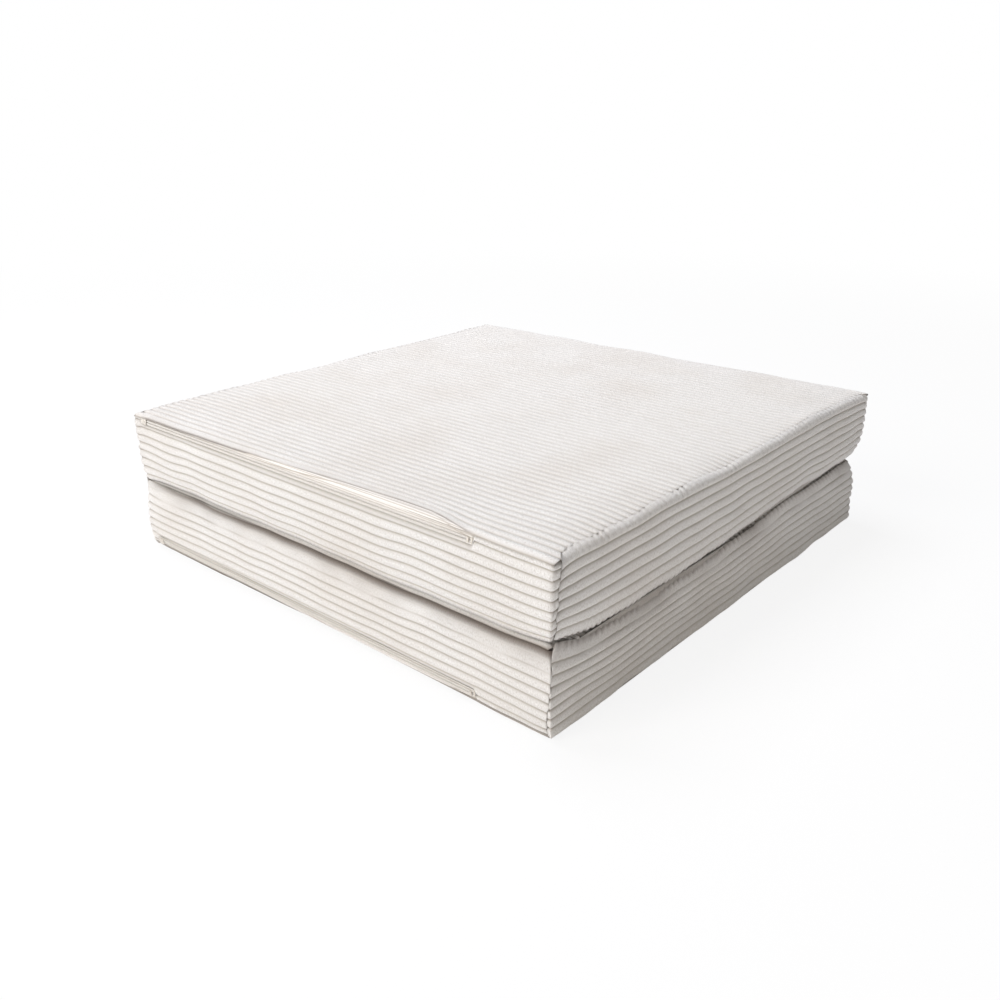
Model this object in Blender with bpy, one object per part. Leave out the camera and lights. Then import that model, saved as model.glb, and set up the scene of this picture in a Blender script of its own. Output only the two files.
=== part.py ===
"""Folding play mattress: two square foam halves in corduroy covers, joined by a fabric hinge.

The mattress lies folded. Z = 0 is the face it stands on and the origin is the centre of that face.
-Y is the front with the two zips, +X is the side where the fold opens, -X is the hinge side.
"""

import math

import bmesh
import bpy
import numpy as np
from mathutils import Matrix, Vector

# Driving sizes of a half, in metres
SIDE = 0.750
HALF_THICKNESS = 0.1035
FOLD_GAP = 0.0003

# Corduroy
CLOTH_THICKNESS = 0.0012
WALE_HEIGHT = 0.0026
WALE_PITCH = 0.0112
CREST_START_SHARE = 0.28
CREST_END_SHARE = 0.72

# Cushion form: how far the seams are drawn in from the fullest part of the sides,
# and how far they lie below the flat middle of the face that they edge
OUTER_DRAW = 0.003
FOLD_DRAW = 0.007
CORNER_DRAW = 0.003
OUTER_FALL = 0.002
FOLD_FALL = 0.003
PLAN_STEP_SHARES = (0.06, 0.03)
PLAN_FALL_SHARES = (0.0, 0.3, 1.0)
RISE_STEP_SHARES = (0.37, 0.12)
RISE_DRAW_SHARES = (0.0, 0.45, 1.0)

# Gaps between neighbouring pieces
SEAM_GAP = 0.0003
FOAM_GAP = 0.0003
RUNNING_GAP = 0.0003

# Fabric hinge
HINGE_STANDOFF = 0.001
HINGE_CLOTH = 0.002
HINGE_BULGE = 0.0025
HINGE_BEND_SHARES = (-0.7, -0.35, 0.0, 0.35, 0.7)

# Zips, which run along the outer seam of the front boxing
ZIP_CORNER_INSET = 0.009
ZIP_OPEN_INSET = 0.099
ZIP_SEAM_DROP = 0.0024
TAPE_WIDTH = 0.0039
TAPE_THICKNESS = 0.0005
COIL_WIDTH = 0.0026
COIL_HEIGHT = 0.002
COIL_END_INSET = 0.006
COIL_SIDES = 10
CHAIN_SPLIT = 0.0009
STOP_LENGTH = 0.002
STOP_WIDTH = 0.0056
TACK_LENGTH = 0.0016
TACK_WIDTH = 0.0078
TACK_HEIGHT = 0.0009

# Zip slider
SLIDER_LENGTH = 0.0105
PLATE_THICKNESS = 0.0006
FLANGE_THICKNESS = 0.0006
BRIDGE_LENGTH_SHARE = 0.6
BRIDGE_WIDTH = 0.0022
BRIDGE_HEIGHT = 0.0009

# One overrun for every cut
CUT_OVERRUN = 0.006

# How near two shares of a half width count as one
SAME_SHARE = 1e-5

# What follows from the driving sizes
COVER = CLOTH_THICKNESS + WALE_HEIGHT
FOLD_PLANE = HALF_THICKNESS + FOLD_GAP / 2
HINGE_X = -(SIDE / 2 + HINGE_STANDOFF)
SEAM_TO_SEAM = HALF_THICKNESS - OUTER_FALL - FOLD_FALL - 2 * COVER
WALES_ACROSS = 2 * round(((SIDE - 2 * OUTER_DRAW) / WALE_PITCH - 1) / 2) + 1
WALES_UP = round(SEAM_TO_SEAM / WALE_PITCH)
BAND = 2 * TAPE_WIDTH + CHAIN_SPLIT

# Sides of a half, each a quarter turn on from the last
SIDE_NAMES = ("front", "open_side", "back", "hinge_side")
ZIP_SIDE = "front"

MATERIALS = {
    "corduroy": ((0.86, 0.83, 0.78), 0.95, 0.0),
    "foam": ((0.90, 0.88, 0.78), 0.90, 0.0),
    "zip_tape": ((0.85, 0.83, 0.79), 0.85, 0.0),
    "zip_coil": ((0.88, 0.87, 0.84), 0.45, 0.0),
    "zip_metal": ((0.35, 0.35, 0.36), 0.35, 1.0),
    "thread": ((0.82, 0.79, 0.74), 0.80, 0.0),
}


def edge_stations(count, step_shares):
    """Shares of the half width where the form bends, on whole wales counted from the edge."""
    far = max(2, round(step_shares[0] * count))
    near = min(far - 1, max(1, round(step_shares[1] * count)))
    return 1 - 2 * far / count, 1 - 2 * near / count, 1.0


PLAN_STATIONS = edge_stations(WALES_ACROSS, PLAN_STEP_SHARES)
RISE_STATIONS = edge_stations(WALES_UP, RISE_STEP_SHARES)


def plan_fall(share):
    """How far the form has fallen away at a share of the half width, from 0 to 1 at the seam."""
    return float(np.interp(abs(share), PLAN_STATIONS, PLAN_FALL_SHARES))


def rise_draw(share):
    """How far a side is drawn in between its middle, at 0, and the outer or fold seam, at 1 or -1."""
    draw = OUTER_DRAW if share > 0 else FOLD_DRAW
    return draw * float(np.interp(abs(share), RISE_STATIONS, RISE_DRAW_SHARES))


def side_out(along, rise):
    """Distance of the wale crests of a side from the middle of the half."""
    return SIDE / 2 - rise_draw(rise) - CORNER_DRAW * plan_fall(along)


def crest_height(u, v, face):
    """Height of the wale crests above the middle of a half, on the outer face, 1, or the fold face, -1."""
    fall = OUTER_FALL if face > 0 else FOLD_FALL
    return face * (HALF_THICKNESS / 2 - fall * (plan_fall(u) + plan_fall(v)))


def core_height(u, v, rise):
    """Height of a point of the foam, between its fold face, -1, and its outer face, 1."""
    inset = COVER + FOAM_GAP
    top = crest_height(u, v, 1) - inset
    bottom = crest_height(u, v, -1) + inset
    return bottom + (top - bottom) * (rise + 1) / 2


def material(name):
    """The Principled material of that name, made once."""
    found = bpy.data.materials.get(name)
    if found:
        return found
    colour, roughness, metallic = MATERIALS[name]
    made = bpy.data.materials.new(name)
    made.use_nodes = True
    shader = made.node_tree.nodes["Principled BSDF"]
    shader.inputs["Base Color"].default_value = (*colour, 1)
    shader.inputs["Roughness"].default_value = roughness
    shader.inputs["Metallic"].default_value = metallic
    made.diffuse_color = (*colour, 1)
    return made


def mesh_from(bm, name, finish, outwards=1):
    """A mesh from a bmesh, its faces pointing out. It is turned over where outwards is -1."""
    for vert in bm.verts:
        vert.co.z *= outwards
    bm.normal_update()
    bmesh.ops.recalc_face_normals(bm, faces=bm.faces)
    mesh = bpy.data.meshes.new(name)
    bm.to_mesh(mesh)
    bm.free()
    mesh.materials.append(material(finish))
    return mesh


def place(name, mesh, parent, collection, location=(0, 0, 0), rotation=(0, 0, 0)):
    """An object with that mesh, placed in its parent's frame."""
    piece = bpy.data.objects.new(name, mesh)
    piece.parent = parent
    piece.location = location
    piece.rotation_euler = rotation
    collection.objects.link(piece)
    return piece


def frame(name, collection, parent=None, location=(0, 0, 0), rotation=(0, 0, 0)):
    """An empty that carries pieces."""
    empty = bpy.data.objects.new(name, None)
    empty.parent = parent
    empty.location = location
    empty.rotation_euler = rotation
    collection.objects.link(empty)
    return empty


def cut_across(bm, geometry, axis, share):
    """Cuts faces along the plane where one coordinate has that value."""
    normal = Vector((0, 0, 0))
    normal[axis] = 1
    bmesh.ops.bisect_plane(
        bm, geom=geometry, dist=SAME_SHARE, plane_co=normal * share, plane_no=normal
    )


def cage(cuts):
    """A cube from -1 to 1, cut at the given shares along each axis."""
    bm = bmesh.new()
    bmesh.ops.create_cube(bm, size=2)
    for axis, shares in enumerate(cuts):
        for share in shares:
            cut_across(bm, bm.verts[:] + bm.edges[:] + bm.faces[:], axis, share)
    return bm


def inner_cuts(stations):
    """The stations on both sides of the middle, without the edges."""
    return [side * share for share in stations[:-1] for side in (-1, 1)]


def cut_wales(bm, count):
    """Cuts the outer faces of a cage into grooves and crests, and lists the crest lines."""
    crests = []
    for wale in range(count):
        for part in (0, CREST_START_SHARE, CREST_END_SHARE):
            share = -1 + 2 * (wale + part) / count
            if part:
                crests.append(share)
            if wale or part:
                outer = [f for f in bm.faces if all(v.co.z > 0 for v in f.verts)]
                edges = {e for f in outer for e in f.edges}
                verts = {v for f in outer for v in f.verts}
                cut_across(bm, list(verts) + list(edges) + outer, 1, share)
    return crests


def cloth_panel(cuts, wales, surface):
    """A sheet of cloth: a cage whose outer side carries wales, laid on a surface.

    surface(u, v, depth) gives a point, with depth 0 at the back of the cloth.
    """
    bm = cage((cuts[0], cuts[1], ()))
    crests = cut_wales(bm, wales) if wales else ()
    for vert in bm.verts:
        u, v, side = vert.co
        crest = not wales or any(abs(v - line) < SAME_SHARE for line in crests)
        depth = 0 if side < 0 else COVER if crest else CLOTH_THICKNESS
        vert.co = surface(u, v, depth)
    return bm


def face_surface(face):
    """The surface of the cloth over the outer face, 1, or the fold face, -1, of a half."""

    def surface(u, v, depth):
        height = crest_height(u, v, face) + face * (depth - COVER)
        return Vector((u * side_out(v, face), v * side_out(u, face), height))

    return surface


def boxing_surface(along, rise, depth):
    """A point of the cloth over the front of a half. Its ends lie on the plan's diagonals."""
    back = depth - COVER
    corner = side_out(1, rise) + back - SEAM_GAP
    return Vector((along * corner, -side_out(along, rise) - back, core_height(1, along, rise)))


def hinge_surface(across, along, depth):
    """A point of the hinge cloth, in world coordinates, over the two seams at the fold."""
    reach = FOLD_GAP / 2 + FOLD_FALL + COVER
    out = side_out(along, -1) + SEAM_GAP + HINGE_BULGE * (1 - across * across)
    width = side_out(1, -1)
    return Vector((-out - depth, along * width, FOLD_PLANE + across * reach))


def foam_mesh(outwards):
    """The foam block, parallel to its cover."""
    plan = inner_cuts(PLAN_STATIONS)
    bm = cage((plan, plan, inner_cuts(RISE_STATIONS)))
    inset = COVER + FOAM_GAP
    for vert in bm.verts:
        u, v, rise = vert.co
        across = u * (side_out(v, rise) - inset)
        along = v * (side_out(u, rise) - inset)
        vert.co = (across, along, core_height(u, v, rise))
    return mesh_from(bm, "foam_block", "foam", outwards)


def face_mesh(face, wales, outwards):
    """A panel for a face of a half, with its wales along X."""
    plan = inner_cuts(PLAN_STATIONS)
    bm = cloth_panel((plan, plan), wales, face_surface(face))
    return mesh_from(bm, "face_panel", "corduroy", outwards)


def boxing_mesh(outwards):
    """A panel for a side of a half, with its wales level."""
    cuts = (inner_cuts(PLAN_STATIONS), inner_cuts(RISE_STATIONS))
    bm = cloth_panel(cuts, WALES_UP, boxing_surface)
    return mesh_from(bm, "boxing", "corduroy", outwards)


def hinge_mesh():
    """The hinge cloth, bulging outwards between the two seams that it joins."""
    bm = cage((HINGE_BEND_SHARES, inner_cuts(PLAN_STATIONS), ()))
    for vert in bm.verts:
        across, along, side = vert.co
        vert.co = hinge_surface(across, along, HINGE_CLOTH if side > 0 else 0)
    return mesh_from(bm, "hinge_cloth", "corduroy")


def block_mesh(name, low, high, finish):
    """A box between two corners."""
    bm = bmesh.new()
    low, high = Vector(low), Vector(high)
    size = high - low
    middle = Matrix.Translation((low + high) / 2)
    scaled = middle @ Matrix.Diagonal((*size, 1))
    bmesh.ops.create_cube(bm, size=1, matrix=scaled)
    return mesh_from(bm, name, finish)


# Levels of the zip's layers above the foam
TAPE_LEVEL = PLATE_THICKNESS + RUNNING_GAP
COIL_LEVEL = TAPE_LEVEL + TAPE_THICKNESS + SEAM_GAP
COIL_TOP = COIL_LEVEL + COIL_HEIGHT
FRONT_PLATE_LEVEL = COIL_TOP + RUNNING_GAP

# Length of the zip and its place along the front
ZIP_START = -(side_out(1, 1) - ZIP_CORNER_INSET)
ZIP_END = side_out(1, 1) - ZIP_OPEN_INSET
ZIP_LENGTH = ZIP_END - ZIP_START
ZIP_MIDDLE = (ZIP_START + ZIP_END) / 2
CHAIN_END = ZIP_LENGTH / 2 - COIL_END_INSET
SLIDER_REST = -CHAIN_END + STOP_LENGTH + RUNNING_GAP + SLIDER_LENGTH / 2


def zip_seat():
    """Where the zip lies on the front of an upper half: out from its middle, height and tilt."""
    bend, edge = RISE_STATIONS[1:]
    drop = core_height(1, 0, edge) - core_height(1, 0, bend)
    tilt = math.atan2(rise_draw(edge) - rise_draw(bend), drop)
    down = ZIP_SEAM_DROP + BAND / 2
    out = side_out(0, edge) - COVER + down * math.sin(tilt)
    return out, core_height(1, 0, edge) - down * math.cos(tilt), tilt


def coil_mesh():
    """One row of the zip's coil, as its outer envelope."""
    bm = bmesh.new()
    length = 2 * (CHAIN_END - STOP_LENGTH - RUNNING_GAP)
    lie = Matrix.Rotation(math.pi / 2, 4, "Y")
    flatten = Matrix.Diagonal((1, COIL_WIDTH / 2, COIL_HEIGHT / 2, 1))
    bmesh.ops.create_cone(
        bm,
        cap_ends=True,
        segments=COIL_SIDES,
        radius1=1,
        radius2=1,
        depth=length,
        matrix=flatten @ lie,
    )
    reach = max(v.co.z for v in bm.verts)
    for vert in bm.verts:
        vert.co.z *= COIL_HEIGHT / 2 / reach
    return mesh_from(bm, "zip_coil_row", "zip_coil")


def slider_outline():
    """Half of the slider's section, from the back plate round to the front: (across, level)."""
    web = CHAIN_SPLIT / 2 - RUNNING_GAP
    inside = CHAIN_SPLIT / 2 + COIL_WIDTH + RUNNING_GAP
    outside = inside + FLANGE_THICKNESS
    top = FRONT_PLATE_LEVEL + PLATE_THICKNESS
    return (
        (outside, 0),
        (outside, PLATE_THICKNESS),
        (web, PLATE_THICKNESS),
        (web, FRONT_PLATE_LEVEL),
        (inside, FRONT_PLATE_LEVEL),
        (inside, COIL_LEVEL),
        (outside, COIL_LEVEL),
        (outside, top),
        (BRIDGE_WIDTH / 2, top),
    )


def slider_mesh():
    """The slider: a back plate and a front plate joined by a web that runs between the coil rows."""
    half = slider_outline()
    section = [*half, *((-across, level) for across, level in reversed(half))]
    bm = bmesh.new()
    ring = [bm.verts.new((-SLIDER_LENGTH / 2, across, level)) for across, level in section]
    end = bm.faces.new(ring)
    grown = bmesh.ops.extrude_face_region(bm, geom=[end])
    moved = [g for g in grown["geom"] if isinstance(g, bmesh.types.BMVert)]
    bmesh.ops.translate(bm, verts=moved, vec=(SLIDER_LENGTH, 0, 0))
    return mesh_from(bm, "zip_slider", "zip_metal")


def bridge_mesh():
    """The slider's bridge, the bow on its front that a hook or clip pulls at."""
    reach = SLIDER_LENGTH * BRIDGE_LENGTH_SHARE / 2
    top = FRONT_PLATE_LEVEL + PLATE_THICKNESS
    return block_mesh(
        "zip_bridge",
        (-reach, -BRIDGE_WIDTH / 2, top - PLATE_THICKNESS / 2),
        (reach, BRIDGE_WIDTH / 2, top + BRIDGE_HEIGHT),
        "zip_metal",
    )


def join_union(piece, other):
    """Joins a helper object into a piece with a Boolean union."""
    other.hide_render = True
    other.display_type = "WIRE"
    union = piece.modifiers.new("Join", "BOOLEAN")
    union.operation = "UNION"
    union.solver = "EXACT"
    union.object = other


def make_zip(side, sign, half, parts, cutters):
    """The zip of one half. sign is 1 on the upper half and -1 on the lower one."""
    out, height, tilt = zip_seat()
    centre = (ZIP_MIDDLE, -out, sign * height)
    turn = (math.pi / 2 - sign * tilt, 0, 0)
    lie = frame(f"{side}_zip_frame", parts, half, centre, turn)

    half_length = ZIP_LENGTH / 2
    split = CHAIN_SPLIT / 2
    tape = block_mesh(
        "zip_tape_strip",
        (-half_length, -TAPE_WIDTH / 2, TAPE_LEVEL),
        (half_length, TAPE_WIDTH / 2, TAPE_LEVEL + TAPE_THICKNESS),
        "zip_tape",
    )
    coil = coil_mesh()
    for name, across in (("outer", sign), ("inner", -sign)):
        seat = across * (split + TAPE_WIDTH / 2)
        place(f"{side}_zip_{name}_tape", tape, lie, parts, (0, seat, 0))
        row = across * (split + COIL_WIDTH / 2)
        level = COIL_LEVEL + COIL_HEIGHT / 2
        place(f"{side}_zip_{name}_coil", coil, lie, parts, (0, row, level))

    stop = block_mesh(
        "zip_stop",
        (-STOP_LENGTH / 2, -STOP_WIDTH / 2, COIL_LEVEL),
        (STOP_LENGTH / 2, STOP_WIDTH / 2, COIL_TOP),
        "zip_metal",
    )
    stop_seat = CHAIN_END - STOP_LENGTH / 2
    place(f"{side}_zip_closed_stop", stop, lie, parts, (-stop_seat, 0, 0))
    place(f"{side}_zip_open_stop", stop, lie, parts, (stop_seat, 0, 0))

    tack = block_mesh(
        "zip_tack",
        (-TACK_LENGTH / 2, -TACK_WIDTH / 2, COIL_LEVEL),
        (TACK_LENGTH / 2, TACK_WIDTH / 2, COIL_LEVEL + TACK_HEIGHT),
        "thread",
    )
    tack_seat = half_length - (COIL_END_INSET - TACK_LENGTH) / 2
    place(f"{side}_zip_bar_tack", tack, lie, parts, (tack_seat, 0, 0))

    slider = place(f"{side}_zip_slider", slider_mesh(), lie, parts, (SLIDER_REST, 0, 0))
    bridge = place(f"{side}_zip_bridge_join", bridge_mesh(), slider, cutters)
    join_union(slider, bridge)

    low = (-half_length - SEAM_GAP, -BAND / 2 - SEAM_GAP, -CUT_OVERRUN)
    high = (half_length + SEAM_GAP, BAND / 2 + CUT_OVERRUN + ZIP_SEAM_DROP, CUT_OVERRUN + COVER)
    slot = place(
        f"{side}_zip_slot_cutter",
        block_mesh("zip_slot", low, high, "corduroy"),
        lie,
        cutters,
        rotation=(0 if sign > 0 else math.pi, 0, 0),
    )
    return slot


def cut_slot(piece, cutter):
    """Cuts the zip's slot into the front boxing."""
    cutter.hide_render = True
    cutter.display_type = "WIRE"
    cut = piece.modifiers.new("Zip slot", "BOOLEAN")
    cut.operation = "DIFFERENCE"
    cut.solver = "EXACT"
    cut.object = cutter


def make_half(side, sign, parent, parts, cutters):
    """One half of the mattress: its foam, its cover and its zip."""
    level = FOLD_PLANE + sign * (FOLD_GAP + HALF_THICKNESS) / 2
    offset = Vector((0, 0, level)) - (parent.location if parent else Vector())
    half = frame(f"{side}_half_frame", parts, parent, offset)

    place(f"{side}_foam_core", foam_mesh(sign), half, parts)
    place(f"{side}_outer_panel", face_mesh(1, WALES_ACROSS, sign), half, parts)
    place(f"{side}_inner_panel", face_mesh(-1, 0, sign), half, parts)
    boxing = boxing_mesh(sign)
    slot = make_zip(side, sign, half, parts, cutters)
    for turn, name in enumerate(SIDE_NAMES):
        round_z = (0, 0, turn * math.pi / 2)
        panel = place(f"{side}_{name}_boxing", boxing, half, parts, rotation=round_z)
        if name == ZIP_SIDE:
            cut_slot(panel, slot)
    return half


def clear_scene():
    """Removes what the file opened with."""
    for old in list(bpy.data.objects):
        bpy.data.objects.remove(old, do_unlink=True)


def make_collection(name):
    """A collection of that name in the scene."""
    made = bpy.data.collections.new(name)
    bpy.context.scene.collection.children.link(made)
    return made


def main():
    """Builds the folded mattress."""
    clear_scene()
    parts = make_collection("Folding play mattress")
    cutters = make_collection("Cutters")
    make_half("lower", -1, None, parts, cutters)
    fold = frame("fold_pivot", parts, location=(HINGE_X, 0, FOLD_PLANE))
    make_half("upper", 1, fold, parts, cutters)
    place("fold_hinge_strip", hinge_mesh(), None, parts)


main()
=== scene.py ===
"""Folding play mattress in wide-wale corduroy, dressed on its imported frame.

Two foam halves lie folded on each other, joined by a cloth hinge on the -X side. Each half has a
zipped cover: six panels of corduroy, and a zip along the shoulder of the front. Every piece of
cloth stands for the CAD node of the same place and is laid over the same foam.
"""

import logging
import math
from collections.abc import Callable
from dataclasses import dataclass, field
from enum import Enum
from functools import partial

import bmesh
import bpy
import numpy as np
from mathutils import Matrix, Vector

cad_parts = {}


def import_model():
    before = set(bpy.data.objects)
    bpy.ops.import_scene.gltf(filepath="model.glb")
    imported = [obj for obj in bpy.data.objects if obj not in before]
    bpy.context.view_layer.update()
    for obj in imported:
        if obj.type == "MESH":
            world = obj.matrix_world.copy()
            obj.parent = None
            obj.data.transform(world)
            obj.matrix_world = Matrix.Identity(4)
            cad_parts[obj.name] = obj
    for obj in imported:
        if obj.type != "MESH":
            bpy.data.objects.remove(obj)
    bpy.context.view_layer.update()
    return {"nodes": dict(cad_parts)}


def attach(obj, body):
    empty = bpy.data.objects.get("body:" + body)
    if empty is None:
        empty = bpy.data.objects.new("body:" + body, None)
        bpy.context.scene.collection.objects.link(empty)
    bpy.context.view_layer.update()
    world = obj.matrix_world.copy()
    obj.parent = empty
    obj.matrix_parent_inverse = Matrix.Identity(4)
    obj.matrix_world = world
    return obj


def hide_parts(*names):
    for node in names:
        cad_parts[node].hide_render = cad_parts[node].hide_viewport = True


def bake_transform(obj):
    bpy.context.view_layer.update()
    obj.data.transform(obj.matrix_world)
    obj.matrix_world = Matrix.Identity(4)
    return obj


LOG = logging.getLogger("play_mattress")
MM = 0.001
Array = np.ndarray
Laid = tuple[Array, Array, Array]
Ramp = tuple[float, float, float, float]
Place = tuple[float, float, float]
Waves = tuple[float, float, float]


class Half(Enum):
    """The two halves, by the side of the fold that each lies on."""

    LOWER = -1
    UPPER = 1

    @property
    def prefix(self) -> str:
        """Start of the names of its pieces."""
        return self.name.lower()

    @property
    def body(self) -> str:
        """Body that its cover and foam ride on."""
        return f"{self.prefix}_half"


class Side(Enum):
    """The sides of a half, each a quarter turn on from the last."""

    FRONT = 0
    OPEN_SIDE = 1
    BACK = 2
    HINGE_SIDE = 3

    @property
    def ends_wales(self) -> bool:
        """Whether the wales of the faces end at it, so that its boxing rolls over the edge."""
        return self in (Side.OPEN_SIDE, Side.HINGE_SIDE)

    @property
    def turn(self) -> tuple[int, int]:
        """Cosine and sine of its turn from the front."""
        return (1, 0, -1, 0)[self.value], (0, 1, 0, -1)[self.value]

    @property
    def front_corner(self) -> int:
        """Which of its ends is the front corner, 1 or -1, or 0 where neither is."""
        return (1, -1, 0, 0)[self.value]


class Face(Enum):
    """The two faces of a half: the one outside, and the one inside the fold."""

    OUTER = 1
    INNER = -1


def srgb(code: str) -> tuple[float, float, float, float]:
    """Turns an sRGB hex code into a linear colour.

    Args:
        code: The colour as "#RRGGBB".

    Returns:
        Red, green, blue and alpha.
    """
    parts = [int(code[at : at + 2], 16) / 255 for at in (1, 3, 5)]
    linear = [c / 12.92 if c <= 0.04045 else ((c + 0.055) / 1.055) ** 2.4 for c in parts]
    return (*linear, 1.0)


def add_node(tree: bpy.types.NodeTree, kind: str, sockets: dict, **settings) -> bpy.types.Node:
    """Adds a shader node with its settings, and its sockets' values or links.

    Args:
        tree: The node tree.
        kind: The node's type name, after "ShaderNode".
        sockets: A value, or the node or output to link from, by input name or number.
        **settings: The node's own settings.

    Returns:
        The node.
    """
    node = tree.nodes.new(f"ShaderNode{kind}")
    for name, value in settings.items():
        setattr(node, name, value)
    for name, value in sockets.items():
        if isinstance(value, bpy.types.Node):
            value = value.outputs[0]
        if isinstance(value, bpy.types.NodeSocket):
            tree.links.new(value, node.inputs[name])
        else:
            node.inputs[name].default_value = value
    return node


def empty_tree(holder: bpy.types.Material | bpy.types.World) -> Callable[..., bpy.types.Node]:
    """Empties a node tree.

    Args:
        holder: The material or world that holds it.

    Returns:
        The function add_node for that tree.
    """
    holder.use_nodes = True
    holder.node_tree.nodes.clear()
    return partial(add_node, holder.node_tree)


def ramp(value: bpy.types.Node | bpy.types.NodeSocket, limits: Ramp) -> dict:
    """Gives the sockets that map a value from its first two limits to the last two."""
    return {"Value": value, **dict(enumerate(limits, 1))}


def seen_directly(add: Callable[..., bpy.types.Node]) -> bpy.types.Node:
    """Adds the share of rays that come from the camera, a mirror or glass.

    Args:
        add: Adds a node to the tree.

    Returns:
        The node whose value is 1 for those rays and 0 for the rest.
    """
    rays = add("LightPath", {}).outputs
    seen = add("Math", {0: rays["Is Camera Ray"], 1: rays["Is Glossy Ray"]}, operation="MAXIMUM")
    return add("Math", {0: seen, 1: rays["Is Transmission Ray"]}, operation="MAXIMUM")


@dataclass(frozen=True)
class Finish:
    """What every finish shares: a shader of one colour input with a fine relief."""

    def surface(
        self, made: bpy.types.Material, colour: bpy.types.NodeSocket, relief: dict, look: dict
    ) -> bpy.types.Material:
        """Gives a material its surface.

        Args:
            made: The material.
            colour: Its colour.
            relief: Height, strength and distance of its relief.
            look: The shader's other values.

        Returns:
            The material.
        """
        add = partial(add_node, made.node_tree)
        bump = add("Bump", relief)
        look = {"Base Color": colour, "Normal": bump, **look}
        add("OutputMaterial", {"Surface": add("BsdfPrincipled", look)})
        return made


@dataclass(frozen=True)
class Corduroy(Finish):
    """Wide-wale corduroy: a cut cotton pile, dense and matt, that stands up in soft wales.

    The tufts lean at random, so the crests look finely flecked, and light that grazes the pile
    gives it a faint bloom. The grooves are painted darker and warmer: partly the ground weave's own
    colour, partly painted shade between the wales. Where the pile is turned into a seam or the
    fold, or lies under the edge of the other half, it is painted brown as painted shade.
    """

    crest: str = "#F6F5F3"
    # groove: the ground weave's own colour, darkened further as painted shade between the wales
    groove: str = "#B9B1A6"
    handled: str = "#EDE9E4"
    # tucked: painted shade, the brown of seams, the fold gap, the hem's edge and under the upper
    # half's edge
    tucked: str = "#5E4D40"
    roughness: float = 0.95
    sheen: float = 0.25
    sheen_roughness: float = 0.6
    tuft_along: float = 1.3 * MM
    tuft_across: float = 2.4 * MM
    patch: float = 130 * MM
    smudges: Ramp = (0.42, 0.72, 0.0, 0.8)
    flecks: Ramp = (0.40, 0.68, 0.0, 0.55)
    pile_relief: float = 1.5 * MM

    def build(self) -> bpy.types.Material:
        """Builds the material. The pile follows the wales by the piece's own UV map, in metres.

        Returns:
            The material.
        """
        made = bpy.data.materials.new("corduroy_wide_wale_cream")
        add = empty_tree(made)
        # How deep in a groove the pile is; the grooves' darker colour is partly painted shade
        deep = add("Attribute", {}, attribute_name="groove").outputs["Fac"]
        # The tucked mark says where the painted shade of seams, folds and edges goes
        painted_seam_shade = add("Attribute", {}, attribute_name="tucked").outputs["Fac"]
        cloth = add("UVMap", {}, uv_map="cloth")
        place = add("TexCoord", {}).outputs["Object"]
        # A tuft is about 0.4 mm wide, drawn at 1.3 by 2.4 mm so that its fleck still shows
        scale = (1 / self.tuft_along, 1 / self.tuft_across, 1)
        tufts = add("Mapping", {"Vector": cloth, "Scale": scale})
        fleck = add("TexNoise", {"Vector": tufts, "Scale": 1.0, "Detail": 3.0, "Roughness": 0.7})
        smudge = add("TexNoise", {"Vector": place, "Scale": 1 / self.patch, "Detail": 4.0})
        handled = add("MapRange", ramp(smudge, self.smudges))
        flecked = add("MapRange", ramp(fleck, self.flecks))
        depth = add("Math", {0: deep, 1: flecked}, operation="MAXIMUM")
        colour = srgb(self.crest)
        for share, code in (
            (handled, self.handled), (depth, self.groove), (painted_seam_shade, self.tucked)
        ):
            mixed = add("Mix", {0: share, 6: colour, 7: srgb(code)}, data_type="RGBA")
            colour = mixed.outputs[2]
        relief = {"Height": fleck, "Strength": 1.0, "Distance": self.pile_relief}
        look = {
            "Roughness": self.roughness,
            "Sheen Weight": self.sheen,
            "Sheen Roughness": self.sheen_roughness,
        }
        return self.surface(made, colour, relief, look)


@dataclass(frozen=True)
class ZipTape(Finish):
    """Woven polyester zip tape: a flat, smooth herringbone with a faint satin look."""

    thread: str = "#EAE7E2"
    # hollow: painted shade in the hollows of the weave and along the sunk stitch rows
    hollow_shade: str = "#AFA497"
    roughness: float = 0.8
    rib: float = 2.6 * MM
    hollow_shading: Ramp = (0.0, 0.35, 0.7, 0.0)
    weave_relief: float = 0.3 * MM

    def build(self) -> bpy.types.Material:
        """Builds the material, with the weave's ribs running along the tape.

        Returns:
            The material.
        """
        made = bpy.data.materials.new("zip_tape_woven_polyester")
        add = empty_tree(made)
        sunk_stitch_shade = add("Attribute", {}, attribute_name="groove").outputs["Fac"]
        cloth = add("UVMap", {}, uv_map="cloth")
        # The weave's ribs are about 0.45 mm apart, drawn at 2.6 mm so that they show. At a scale
        # of 1, a band of the wave texture is about 1 / pi long
        weave = {"Vector": cloth, "Scale": 1 / (math.pi * self.rib), "Distortion": 0.6}
        ribs = add("TexWave", weave, bands_direction="Y").outputs["Fac"]
        # The weave's hollows and the sunk stitch rows are painted darker, as painted shade
        share = add("MapRange", ramp(ribs, self.hollow_shading))
        depth = add("Math", {0: share, 1: sunk_stitch_shade}, operation="MAXIMUM")
        shades = {0: depth, 6: srgb(self.thread), 7: srgb(self.hollow_shade)}
        colour = add("Mix", shades, data_type="RGBA").outputs[2]
        relief = {"Height": ribs, "Strength": 0.6, "Distance": self.weave_relief}
        return self.surface(made, colour, relief, {"Roughness": self.roughness})


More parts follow.
